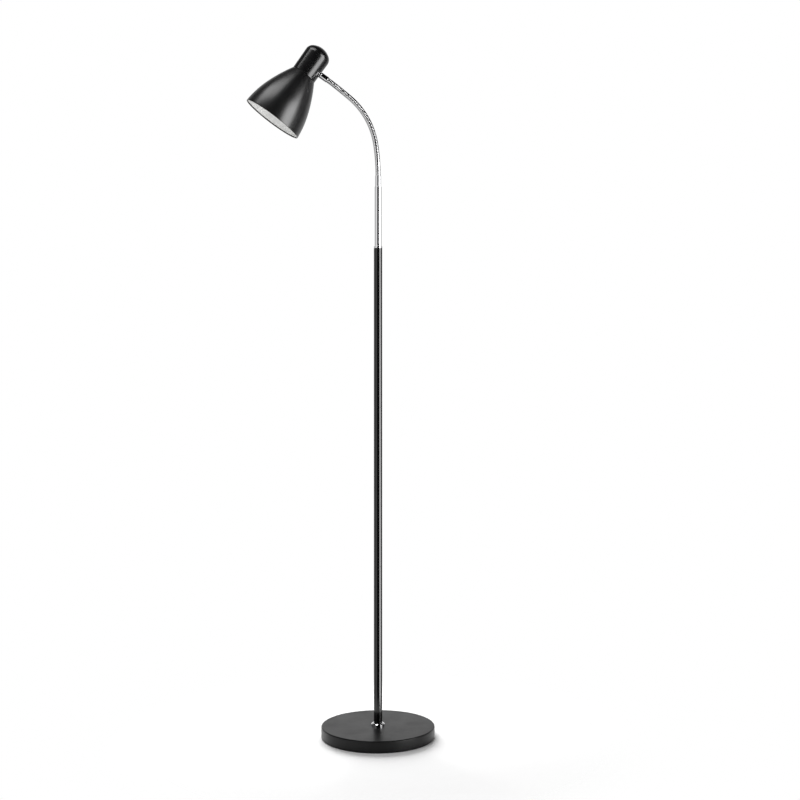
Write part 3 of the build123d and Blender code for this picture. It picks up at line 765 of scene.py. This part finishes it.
@dataclass
class Pole(Assembly):
    """Three black pole sections, the chrome ring on top and the chrome tube with its ferrule."""

    radius: float = 9.5 * MM
    wall: float = 1.0 * MM
    chamfer: float = 0.25 * MM
    ring_radius: float = 9.8 * MM
    ring_bore: float = 5.05 * MM
    ring_edge: float = 0.8 * MM
    tube_radius: float = 8.0 * MM
    tube_wall: float = 1.0 * MM
    tube_edge: float = 0.75 * MM
    ferrule_bore: float = 6.05 * MM
    ferrule_edge: float = 0.4 * MM
    ferrule_slip: float = 0.05 * MM

    def build(self) -> None:
        """Build and seat each piece between its own node's ends."""
        for node in ("pole_lower", "pole_middle", "pole_upper"):
            low, high = self.ends(node)
            outline = ring_outline(self.radius - self.wall, self.radius, low, high, self.chamfer)
            self.add(turned(f"{node}_tube", outline, POLE_AXIS, ("pole_black",)), "stand", "pole_black", node)
        low, high = self.ends("pole_top_ring")
        outline = ring_outline(self.ring_bore, self.ring_radius, low, high, self.ring_edge, 8)
        ring = turned("pole_ring", outline, POLE_AXIS, ("tube_chrome",))
        self.add(ring, "stand", "tube_chrome", "pole_top_ring")
        low, high = self.ends("neck_tube")
        inside = self.tube_radius - self.tube_wall
        outside = self.tube_radius
        top = [(outside, high, self.tube_edge), (inside, high, 0)]
        outline = rounded([(inside, low, 0), (outside, low, 0), *top], 8)
        tube = turned("chrome_tube", outline, POLE_AXIS, ("tube_chrome",))
        self.add(tube, "stand", "tube_chrome", "neck_tube")
        low, high = self.ends("lower_ferrule")
        outline = ring_outline(self.ferrule_bore, inside - self.ferrule_slip, low, high, self.ferrule_edge, 6)
        ferrule = turned("hose_ferrule", outline, POLE_AXIS, ("tube_chrome",))
        self.add(ferrule, "stand", "tube_chrome", "lower_ferrule")

    def ends(self, node: str) -> tuple[float, float]:
        """Lowest and highest point of an upright node."""
        low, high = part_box(node)
        return low.z, high.z


@dataclass(frozen=True)
class Bend:
    """One stretch of the neck's line: an arc that is tangent to the two links at a hinge."""

    start: np.ndarray
    before: np.ndarray
    after: np.ndarray
    half: float

    def line(self, share: np.ndarray) -> tuple[np.ndarray, np.ndarray]:
        """Points and normals along the arc, for shares of its sweep from 0 to 1.

        With sweep w and radius half / tan(w / 2), the point at angle a is
        start + radius * (sin(a) * before + (1 - cos(a)) * inward), and the normal to the
        line, in the neck's plane, is inward turned by a.

        Args:
            share: shares of the arc's sweep.

        Returns:
            The points and the normals.
        """
        inward = np.cross(BACK, self.before)
        if float(inward @ self.after) < 0:
            inward = -inward
        sweep = math.acos(float(np.clip(self.before @ self.after, -1.0, 1.0)))
        angle = (share * sweep)[:, None]
        if sweep < 1e-6:
            points = self.start + share[:, None] * 2 * self.half * self.before
            return points, np.repeat(inward[None], len(share), axis=0)
        radius = self.half / math.tan(sweep / 2)
        points = self.start + radius * (np.sin(angle) * self.before + (1 - np.cos(angle)) * inward)
        return points, np.cos(angle) * inward - np.sin(angle) * self.before


@dataclass
class Gooseneck(Assembly):
    """The wound hose, one piece across each hinge, and the lead inside it.

    Each piece runs from the middle of one link to the middle of the next, where it meets
    its neighbours ring to ring, and follows an arc between the two links. The pieces are baked
    in place and seated on no body. far_first names the hinges whose ends and bodies are
    taken the other way round; nothing reads them afterwards.
    """

    joints: list[dict]
    radius: float = 6.0 * MM
    bore: float = 3.2 * MM
    groove: float = 0.6 * MM
    pitch: float = 3.35 * MM
    crest: float = 12.0
    samples_per_turn: int = 20
    segments: int = 56
    insert: float = 20 * MM
    tip_reach: float = 24.5 * MM
    lead_radius: float = 2.5 * MM
    lead_reach: float = 48.2 * MM
    bore_rows: int = 9
    lead_segments: int = 24
    lead_step: float = 2 * MM
    far_first: tuple[int, ...] = (7,)

    def __post_init__(self) -> None:
        """Read the joints' places from the frame."""
        neck = sorted((j for j in self.joints if j["name"].startswith("neck_")), key=lambda j: j["name"][-2:])
        turn = next(j for j in self.joints if j["name"] == "head_turn")
        self.pivots = [np.array(j["pos_m"], float) for j in neck]
        self.bodies = [neck[0]["parent"]] + [j["child"] for j in neck]
        self.leans = [UP]
        for low, high in zip(self.pivots, self.pivots[1:]):
            self.leans.append((high - low) / np.linalg.norm(high - low))
        self.leans.append(-np.array(turn["axis"], float))
        self.half = float(np.linalg.norm(self.pivots[1] - self.pivots[0])) / 2
        self.root = float(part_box("lower_ferrule")[1].z)

    def build(self) -> None:
        """Build the hose and the lead, from the lower ferrule to the head's nipple."""
        first = self.pivots[0] - self.half * self.leans[0]
        low = first[2] - self.root + self.insert
        root = self.straight(first - low * UP, UP, low)
        self.add(self.wound("hose_root", root, low, 0.0), "stand", "hose_chrome", "neck_root_link")
        self.add(self.plain("lead_root", root, low), "stand", "lead_sheath", "lead_in_neck")
        travelled = low
        for index, pivot in enumerate(self.pivots):
            before, after = self.leans[index], self.leans[index + 1]
            bend = Bend(pivot - self.half * before, before, after, self.half)
            number = index + 1
            hose = self.wound(f"hose_{number:02d}", bend, 2 * self.half, travelled)
            lead = self.plain(f"lead_{number:02d}", bend, 2 * self.half)
            ends = [tuple(end) for end in bend.line(np.array([0.0, 1.0]))[0]]
            pair = [self.bodies[index], self.bodies[index + 1]]
            if number in self.far_first:
                ends.reverse()
                pair.reverse()
            for piece, slot in ((hose, "hose_chrome"), (lead, "lead_sheath")):
                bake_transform(piece)
            if number < len(self.pivots):
                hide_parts(f"neck_link_{number:02d}")
            log.info("%s: %d faces across hinge %d", hose.name, len(hose.data.polygons), number)
            travelled += 2 * self.half
        last = self.pivots[-1] + self.half * self.leans[-1]
        reach = self.tip_reach - self.half
        tip = self.wound("hose_tip", self.straight(last, self.leans[-1], reach), reach, travelled)
        self.add(tip, "neck_end", "hose_chrome", "neck_tip_link")
        reach = self.lead_reach - self.half
        tail = self.plain("lead_tip", self.straight(last, self.leans[-1], reach), reach)
        self.add(tail, "neck_end", "lead_sheath")

    def straight(self, start: np.ndarray, along: np.ndarray, length: float) -> Bend:
        """A stretch with no bend in it."""
        return Bend(start, along, along, length / 2)

    def wound(self, name: str, bend: Bend, length: float, travelled: float) -> Object:
        """One piece of hose: a helical ridge outside and a plain bore.

        At distance d and angle a the turn's phase is d / pitch - a / 2pi, and the radius is
        the hose's less groove * |2 * frac(phase) - 1| ** crest: a rounded wire with a sharp
        valley on each side.

        Args:
            name: the piece's name.
            bend: the line it follows.
            length: the line's length, which sets the number of turns.
            travelled: length of the hose before it, which sets where its turns start.

        Returns:
            The piece, closed at both ends by rings.
        """
        rows = max(int(round(length / self.pitch * self.samples_per_turn)), 4)
        share = np.linspace(0.0, 1.0, rows + 1)
        angle = np.linspace(0.0, 2 * np.pi, self.segments, endpoint=False)
        phase = (travelled + share[:, None] * length) / self.pitch - angle[None, :] / (2 * np.pi)
        outer = self.radius - self.groove * np.abs(2 * (phase - np.floor(phase)) - 1) ** self.crest
        inner_share = np.linspace(1.0, 0.0, self.bore_rows)
        inner = np.full((len(inner_share), self.segments), self.bore)
        outside = self.rings(bend, share, outer, angle)
        inside = self.rings(bend, inner_share, inner, angle)
        return grid_object(name, np.concatenate([outside, inside]), [dressing("hose_chrome")])

    def plain(self, name: str, bend: Bend, length: float) -> Object:
        """One piece of lead: a plain round sheath.

        Args:
            name: the piece's name.
            bend: the line it follows.
            length: the line's length, which sets the number of rings.

        Returns:
            The piece, closed at both ends.
        """
        angle = np.linspace(0.0, 2 * np.pi, self.lead_segments, endpoint=False)
        share = np.linspace(0.0, 1.0, max(int(length / self.lead_step), 2))
        share = np.concatenate([[0.0], share, [1.0]])
        radius = np.full((len(share), len(angle)), self.lead_radius)
        radius[[0, -1]] = 0.0
        return grid_object(name, self.rings(bend, share, radius, angle), [dressing("lead_sheath")])

    def rings(self, bend: Bend, share: np.ndarray, radius: np.ndarray, angle: np.ndarray) -> np.ndarray:
        """Rings square to the bend's line: centre + radius * (cos(a) * normal + sin(a) * back).

        Args:
            bend: the line.
            share: where the rings stand along it, from 0 to 1.
            radius: radius of every point, rings by angles.
            angle: the points' angles round the line.

        Returns:
            Array of rings by angles by 3.
        """
        centre, normal = bend.line(share)
        radial = np.cos(angle)[None, :, None] * normal[:, None, :] + np.sin(angle)[None, :, None] * BACK
        return centre[:, None, :] + radius[..., None] * radial


@dataclass
class Head(Assembly):
    """The bell shade, the domed cap, the joint's washers and the bulb.

    Heights run up the head's axis from the shade's mouth. spot_face is the distance from that
    axis to the flat that the joint's stack starts on.
    """

    joints: list[dict]
    nipple_height: float = 143.8 * MM
    mouth: float = 69.5 * MM
    bend_height: float = 62 * MM
    bend_radius: float = 56.6 * MM
    bow: float = 2.2 * MM
    seam_height: float = 122 * MM
    seam: float = 28.8 * MM
    wall: float = 0.8 * MM
    hem: float = 3.0 * MM
    hem_round: float = 0.75 * MM
    fold_gap: float = 0.1 * MM
    soft_edge: float = 0.3 * MM
    shoulder_round: float = 1.2 * MM
    holder_hole: float = 19.8 * MM
    crown: float = 29.4 * MM
    dome_height: float = 173.3 * MM
    shoulder: float = 17.0 * MM
    dome: float = 21.2 * MM
    cap_wall: float = 2.4 * MM
    cap_lip: float = 1.0 * MM
    spot_face: float = 28.3 * MM
    spot_face_radius: float = 8.0 * MM
    nipple_hole: float = 5.08 * MM
    nipple_slip: float = 0.03 * MM
    ferrule_length: float = 18.5 * MM
    ferrule_radius: float = 7.0 * MM
    ferrule_bore: float = 6.05 * MM
    bead: float = 0.4 * MM
    bead_width: float = 1.4 * MM
    ferrule_edge: float = 0.35 * MM
    ferrule_floor: float = 6 * MM
    friction_radius: float = 5.9 * MM
    friction_edge: float = 0.25 * MM
    friction_thickness: float = 2.4 * MM
    washer_radius: float = 6.7 * MM
    washer_thickness: float = 1.2 * MM
    bulb_radius: float = 30 * MM
    bulb_wall: float = 1.5 * MM
    bulb_middle: float = 46.3 * MM
    bulb_rim: float = 3.0 * MM
    bulb_gap: float = 0.15 * MM
    bulb_neck: float = 13.9 * MM
    bulb_neck_height: float = 97.7 * MM

    def __post_init__(self) -> None:
        """Read the joints' places from the frame."""
        turn = next(j for j in self.joints if j["name"] == "head_turn")
        to_neck = np.array(turn["axis"], float)
        crossing = np.array(turn["pos_m"], float)
        up_head = np.array([-to_neck[2], 0.0, to_neck[0]])
        self.axis = TurningAxis(crossing - self.nipple_height * up_head, up_head, to_neck)
        self.stack = TurningAxis(crossing, to_neck, BACK)

    def build(self) -> None:
        """Build and seat every visible piece of the head."""
        self.add(self.shade(), "head", "shade_black", "lamp_shade")
        self.add(self.cap(), "head", "cap_black", "lamp_cap")
        self.add(self.washer(), "head", "tube_chrome", "cap_washer")
        self.add(self.friction(), "neck_end", "washer_grey", "friction_washer")
        self.add(self.ferrule(), "neck_end", "tube_chrome", "upper_ferrule")
        self.add(self.bulb_dome(), "head", "bulb_opal", "bulb_dome")
        self.add(self.bulb_body(), "head", "bulb_white", "bulb_body")

    def shade(self) -> Object:
        """Bell shade: two tangent arcs outside, black, the same arcs a wall inside, white.

        The wall folds inwards at the mouth into a hem two walls thick.

        Returns:
            The shade, in black and white.
        """
        lower = bowed_arc((self.mouth, 0.0), (self.bend_radius, self.bend_height), self.bow, 40)
        upper = arc(tuple(lower[-1]), lower[-1] - lower[-2], (self.seam, self.seam_height), 40)
        bell = np.vstack([lower, upper[1:]])
        inner = inset(bell, self.wall)
        inner = inner[(inner[:, 1] > self.hem + self.wall) & (inner[:, 1] < self.seam_height - 2 * self.wall)]
        outer = bell[(bell[:, 1] > self.hem_round) & (bell[:, 1] < self.seam_height - self.shoulder_round)]
        rim_centre = np.array([self.mouth - self.wall - self.fold_gap, self.wall])
        turn = np.linspace(0.0, -np.pi, 13)
        rim = rim_centre + self.wall * np.stack([np.cos(turn), np.sin(turn)], axis=1)
        hem_inside = rim[-1, 0]
        corner = (self.seam - self.fold_gap, self.seam_height, self.shoulder_round * 0.5)
        shoulder = rounded([(*outer[-1], 0), corner, (self.holder_hole, self.seam_height, 0)])[1:]
        ceiling = self.seam_height - self.wall
        top_inside = np.array([[self.holder_hole, ceiling], [inner[-1, 0] - self.wall, ceiling]])
        hem_top = np.array([[hem_inside, self.hem - self.soft_edge], [hem_inside + self.soft_edge, self.hem]])
        outline = np.vstack([outer, shoulder, top_inside, inner[::-1], hem_top[::-1], rim[::-1]])
        white_from = len(outer) + len(shoulder) + 1
        white_to = len(outline) - len(rim) - len(hem_top) + 1
        bands = np.zeros(len(outline))
        bands[white_from:white_to] = 1
        return turned("bell_shade", outline, self.axis, ("shade_black", "shade_white"), 192, bands)

    def cap(self) -> Object:
        """Domed cap: a slightly flared side, a shoulder arc and a flatter crown arc.

        The crown's radius makes both arcs tangent where they meet.

        Returns:
            The cap, bored for the head's nipple.
        """
        rise = self.crown * (self.crown - 2 * self.shoulder) + self.dome**2
        crown_radius = rise / (2 * (self.dome - self.shoulder))
        meet = math.atan2(crown_radius - self.dome, self.crown - self.shoulder)
        top = self.dome_height + self.dome

        def skin(depth: float) -> np.ndarray:
            """Side, shoulder and crown at a depth inside the outer face.

            Args:
                depth: distance inside the outer face.

            Returns:
                Points, radius and height.
            """
            first = np.linspace(0.0, meet, 20)[:, None]
            second = np.linspace(meet, np.pi / 2, 20)[1:, None]
            shoulder = (self.shoulder - depth) * np.hstack([np.cos(first), np.sin(first)])
            crown = (crown_radius - depth) * np.hstack([np.cos(second), np.sin(second)])
            shoulder_centre = np.array([self.crown - self.shoulder, self.dome_height])
            crown_centre = np.array([0.0, top - crown_radius])
            return np.vstack([shoulder_centre + shoulder, crown_centre + crown])

        outside, inside = skin(0.0), skin(self.cap_wall)
        outside[-1, 0] = inside[-1, 0] = 0.0
        lip = rounded(
            [
                (self.seam - self.cap_wall, self.seam_height, 0),
                (self.seam, self.seam_height, self.cap_lip),
                (self.crown, self.dome_height, 0),
            ]
        )[:-1]
        outline = np.vstack([lip, outside, inside[::-1]])
        piece = turned("domed_cap", outline, self.axis, ("cap_black",), segments=160)
        clear = self.spot_face + 6 * MM
        bored(piece, self.stack, self.spot_face_radius, self.spot_face, clear)
        return bored(piece, self.stack, self.nipple_hole, self.crown - 3 * self.cap_wall, clear)

    def stack_ring(self, name: str, slot: str, outline: np.ndarray) -> Object:
        """A ring of the joint's stack, turned about the stack's line."""
        return turned(name, outline, self.stack, (slot,), segments=72)

    def washer(self) -> Object:
        """Chrome washer against the cap.

        Returns:
            The washer.
        """
        low = self.spot_face
        high = low + self.washer_thickness
        outline = ring_outline(self.nipple_hole, self.washer_radius, low, high, self.soft_edge)
        return self.stack_ring("cap_washer_ring", "tube_chrome", outline)

    def friction(self) -> Object:
        """Dark friction washer between the chrome washer and the ferrule.

        Returns:
            The friction washer.
        """
        low = self.spot_face + self.washer_thickness
        high = low + self.friction_thickness
        bore = self.nipple_hole - self.nipple_slip
        outline = ring_outline(bore, self.friction_radius, low, high, self.friction_edge)
        return self.stack_ring("friction_ring", "washer_grey", outline)

    def ferrule(self) -> Object:
        """Chrome ferrule with a bead at its head end, open to the hose at the other.

        Returns:
            The ferrule.
        """
        low = self.spot_face + self.washer_thickness + self.friction_thickness
        high = low + self.ferrule_length
        edge = self.ferrule_radius + self.bead
        bore = self.nipple_hole - self.nipple_slip
        outline = rounded(
            [
                (bore, low, 0),
                (edge, low, self.ferrule_edge),
                (edge, low + self.bead_width, self.ferrule_edge),
                (self.ferrule_radius, low + self.bead_width, 0),
                (self.ferrule_radius, high, self.ferrule_edge),
                (self.ferrule_bore, high, 0),
                (self.ferrule_bore, low + self.ferrule_floor, 0),
                (bore, low + self.ferrule_floor, 0),
            ],
            5,
        )
        return turned("head_ferrule", outline, self.stack, ("tube_chrome",))

    def bulb_dome(self) -> Object:
        """Opal half sphere of the bulb, a wall thick.

        Returns:
            The dome.
        """
        angle = np.linspace(0.0, -np.pi / 2, 40)[:, None]
        centre = np.array([0.0, self.bulb_middle])
        outer = centre + self.bulb_radius * np.hstack([np.cos(angle), np.sin(angle)])
        inner = centre + (self.bulb_radius - self.bulb_wall) * np.hstack([np.cos(angle), np.sin(angle)])
        outer[-1, 0] = inner[-1, 0] = 0.0
        outline = np.vstack([outer, inner[::-1]])
        return turned("bulb_diffuser", outline, self.axis, ("bulb_opal",), segments=128)

    def bulb_body(self) -> Object:
        """White heat sink of the bulb: a short rim, then one arc to the neck.

        Returns:
            The body.
        """
        low = self.bulb_middle + self.bulb_gap
        foot = (self.bulb_radius, self.bulb_middle + self.bulb_rim)
        flank = arc(foot, UP[1:], (self.bulb_neck, self.bulb_neck_height), 40)
        inner = inset(flank, self.bulb_wall)
        inside = self.bulb_radius - self.bulb_wall
        outline = np.vstack([[[self.bulb_radius, low]], flank, inner[::-1], [[inside, low]]])
        return turned("bulb_housing", outline, self.axis, ("bulb_white",), segments=128)


# ---------------------------------------------------------------- carried-over nodes


def dress_nodes(frame: dict) -> None:
    """Give every CAD node that stays the finish of its own slot.
    """
    slots = {part["node"]: part["material_slot"] for part in frame["record"]["subparts"]}
    for name, node in frame["nodes"].items():
        node.data.materials.clear()
        node.data.materials.append(dressing(slots[name]))


# ---------------------------------------------------------------- studio


@dataclass
class Softbox:
    """A rectangular lamp that faces the object; polished pieces show it only where mirrored."""

    name: str
    place: tuple[float, float, float]
    aim: tuple[float, float, float]
    size: tuple[float, float]
    power: float
    mirrored: bool = True

    def build(self) -> None:
        """Add the lamp."""
        data = bpy.data.lights.new(self.name, "AREA")
        data.shape = "RECTANGLE"
        data.size, data.size_y = self.size
        data.energy = self.power
        lamp = bpy.data.objects.new(self.name, data)
        lamp.matrix_world = facing(self.place, self.aim)
        lamp.visible_camera = False
        lamp.visible_glossy = self.mirrored
        bpy.context.scene.collection.objects.link(lamp)


@dataclass(frozen=True)
class Window:
    """A bright card in the ring: full within its half sizes, gone a soft edge beyond them.

    Azimuth is in degrees from the camera's side, rightwards, and height is the sine of the
    elevation.
    """

    azimuth: float
    half_width: float
    height: float
    half_height: float
    edge: tuple[float, float]
    level: float


def facing(place: tuple[float, float, float], aim: tuple[float, float, float]) -> Matrix:
    """Matrix of something that stands at a place and looks at another along its -Z.

    Args:
        place: where it stands.
        aim: what it looks at.

    Returns:
        The matrix, with +Y upwards.
    """
    turn = (Vector(aim) - Vector(place)).to_track_quat("-Z", "Y")
    return Matrix.Translation(place) @ turn.to_matrix().to_4x4()


@dataclass
class Studio:
    """White studio: floor, ring of cards, soft lamps and the camera at the photograph's angle.

    Attributes:
        floor_size: side of the floor's square.
        floor_edge: radii between which the floor passes into the white beyond it.
        mirrored_edge: how many times sooner it does so in polished pieces.
        cards: angle and brightness of the grey and white cards round the lamp, as polished
            pieces see them, in degrees from the camera's side, rightwards.
        card_top: how high the cards reach, as the sine of the elevation, and where they end.
        window: the bright card at the right.
        backdrop: where the white paper behind starts and is full, as a direction's share
            backwards, and its brightness in polished pieces.
        room: brightness of the room above the cards.
        camera_place: where the camera stands, level.
        lens: its focal length in millimetres.
        world_light: soft light from above the horizon.
        floor_bounce: soft light from the white floor below it.
        floor_colour: how much light the floor returns.
        floor_roughness: its roughness.
        floor_glow: light it gives by itself, as the camera and polished pieces see it.
    """

    floor_size: float = 3.2
    floor_edge: tuple[float, float] = (0.28, 0.62)
    mirrored_edge: float = 1.5
    camera_place: tuple[float, float, float] = (0.0493, -2.600, 0.755)
    lens: float = 52.15
    world_light: float = 0.22
    floor_bounce: float = 1.0
    floor_colour: float = 0.9
    floor_roughness: float = 0.9
    floor_glow: float = 0.03
    cards: tuple[tuple[float, float], ...] = (
        (-180, 0.35),
        (-95, 0.45),
        (-85, 0.6),
        (-58, 0.6),
        (-52, 0.93),
        (-31, 0.93),
        (-25, 0.01),
        (85, 0.01),
        (100, 0.15),
        (160, 0.15),
        (180, 0.35),
    )
    card_top: tuple[float, float] = (0.2, 0.42)
    window: Window = Window(
        azimuth=61.0, half_width=14.0, height=-0.3, half_height=0.43, edge=(8.0, 0.2), level=9.5
    )
    backdrop: tuple[float, float, float] = (0.4, 0.8, 0.6)
    room: float = 0.03

    def build(self) -> None:
        """Build the studio."""
        scene = bpy.context.scene
        scene.view_settings.view_transform = "Standard"
        self.build_world(scene)
        self.build_floor()
        for lamp in self.lamps():
            lamp.build()
        self.build_camera(scene)
        log.info("studio: floor, cards, lamps and camera")

    def lamps(self) -> list[Softbox]:
        """A soft lamp above left of the head, and a wide one behind that draws the shadow.

        Returns:
            Both lamps.
        """
        return [
            Softbox("head_softbox", (-0.76, -0.67, 3.0), (-0.2, 0.0, 1.42), (1.5, 0.85), 22.0),
            Softbox("back_softbox", (-0.5, 2.3, 1.5), (0.0, 0.0, 0.1), (2.2, 2.2), 142.0, mirrored=False),
        ]

    def build_world(self, scene: Scene) -> None:
        """White where the camera looks, the ring of cards in polished pieces, and soft light.

        Args:
            scene: the scene that gets the world.
        """
        world = bpy.data.worlds.new("studio_world")
        world.use_nodes = True
        scene.world = world
        nodes = Nodes(world.node_tree)
        rays = nodes.add("LightPath", {}).outputs
        axes = nodes.add("SeparateXYZ", {"Vector": nodes.coordinates(Coordinates.DIRECTION)}).outputs
        clear = nodes.math("MAXIMUM", rays["Is Camera Ray"], rays["Is Transmission Ray"])
        mirrored = nodes.math("MULTIPLY", rays["Is Glossy Ray"], self.card_ring(nodes, axes))
        matte = nodes.math("SUBTRACT", 1.0, rays["Is Glossy Ray"])
        bounce = nodes.level(axes["Z"], HORIZON, (self.floor_bounce, self.world_light))
        unseen = nodes.math("ADD", mirrored, nodes.math("MULTIPLY", matte, bounce))
        given = {"Color": (1.0, 1.0, 1.0, 1.0), "Strength": nodes.math("MAXIMUM", clear, unseen)}
        nodes.feed(world.node_tree.nodes["Background"], given)

    def card_ring(self, nodes: Nodes, axes: bpy_prop_collection) -> NodeSocket:
        """Brightness of what polished pieces mirror, by direction.

        A ramp over the angle gives the cards, which fade upwards; the backdrop and the window
        are added to them.

        Args:
            nodes: the world's node tree.
            axes: X, Y and Z of the direction, as sockets by name.

        Returns:
            The brightness, as a socket.
        """
        front = nodes.math("MULTIPLY", axes["Y"], -1.0)
        angle = nodes.math("ARCTAN2", axes["X"], front)
        share = nodes.math("ADD", nodes.math("MULTIPLY", angle, 0.5 / math.pi), 0.5)
        stops = [(degrees / 360.0 + 0.5, (level, level, level)) for degrees, level in self.cards]
        reach = nodes.level(axes["Z"], self.card_top, (1.0, self.room))
        ring = nodes.math("MULTIPLY", nodes.ramp(share, stops), reach)
        card = self.window
        aside = nodes.math("ABSOLUTE", nodes.math("SUBTRACT", angle, math.radians(card.azimuth)))
        width = math.radians(card.half_width)
        across = nodes.level(aside, (width, width + math.radians(card.edge[0])), (card.level, 0.0))
        above = nodes.math("ABSOLUTE", nodes.math("SUBTRACT", axes["Z"], card.height))
        upright = nodes.level(above, (card.half_height, card.half_height + card.edge[1]), (1.0, 0.0))
        paper = nodes.level(axes["Y"], self.backdrop[:2], (0.0, self.backdrop[2]))
        behind = nodes.math("ADD", ring, paper)
        return nodes.math("ADD", behind, nodes.math("MULTIPLY", across, upright))

    def build_floor(self) -> None:
        """White floor round the lamp, which passes into the white world beyond it.

        Part of what is seen is its own glow, so shadows stay soft. Its cover is 1 within the
        first radius of floor_edge, 0 past the second, and a smooth step between them.
        """
        half = self.floor_size / 2
        square = [(-half, -half, 0), (half, -half, 0), (half, half, 0), (-half, half, 0)]
        mesh = bpy.data.meshes.new("floor")
        mesh.from_pydata(square, [], [(0, 1, 2, 3)])
        floor = bpy.data.objects.new("floor", mesh)
        bpy.context.scene.collection.objects.link(floor)
        material = bpy.data.materials.new("floor_white")
        material.use_nodes = True
        nodes = Nodes(material.node_tree)
        shader = material.node_tree.nodes["Principled BSDF"]
        paint = (self.floor_colour, self.floor_colour, self.floor_colour, 1.0)
        matte = {"Base Color": paint, "Roughness": self.floor_roughness, "Specular IOR Level": 0.0}
        nodes.feed(shader, matte)
        rays = nodes.add("LightPath", {}).outputs
        mirrored = nodes.math("MAXIMUM", rays["Is Glossy Ray"], rays["Is Transmission Ray"])
        seen = nodes.math("MAXIMUM", rays["Is Camera Ray"], mirrored)
        glow = nodes.add("Emission", {"Strength": nodes.math("MULTIPLY", seen, self.floor_glow)})
        both = nodes.add("AddShader", {0: shader.outputs["BSDF"], 1: glow.outputs["Emission"]})
        reach = nodes.add("VectorMath", {0: nodes.coordinates(Coordinates.OBJECT)})
        reach.operation = "LENGTH"
        sooner = nodes.math("ADD", nodes.math("MULTIPLY", mirrored, self.mirrored_edge - 1.0), 1.0)
        radius = nodes.math("MULTIPLY", reach.outputs["Value"], sooner)
        share = nodes.level(radius, self.floor_edge, (0.0, 1.0))
        clear = nodes.add("BsdfTransparent", {})
        layers = {"Fac": share, 1: both.outputs["Shader"], 2: clear.outputs["BSDF"]}
        cover = nodes.add("MixShader", layers)
        nodes.feed(material.node_tree.nodes["Material Output"], {"Surface": cover.outputs["Shader"]})
        mesh.materials.append(material)

    def build_camera(self, scene: Scene) -> None:
        """Level camera at half the lamp's height, a little to the right of the pole.

        Args:
            scene: the scene that gets the camera.
        """
        data = bpy.data.cameras.new("camera")
        data.lens = self.lens
        data.sensor_width = 36.0
        camera = bpy.data.objects.new("camera", data)
        camera.location = self.camera_place
        camera.rotation_euler = (math.pi / 2, 0.0, 0.0)
        scene.collection.objects.link(camera)
        scene.camera = camera


def corners(box: tuple) -> list[list[float]]:
    """A box's two corners as plain lists."""
    return [list(map(float, corner)) for corner in box]


def main() -> None:
    """Build the lamp round the frame."""
    logging.basicConfig(level=logging.INFO, format="%(name)s: %(message)s")
    bpy.ops.wm.read_factory_settings(use_empty=True)
    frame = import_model()
    dress_nodes(frame)
    Base().build()
    Pole().build()
    Gooseneck(frame["joints"]).build()
    Head(frame["joints"]).build()
    Studio().build()


if __name__ == "__main__":
    main()
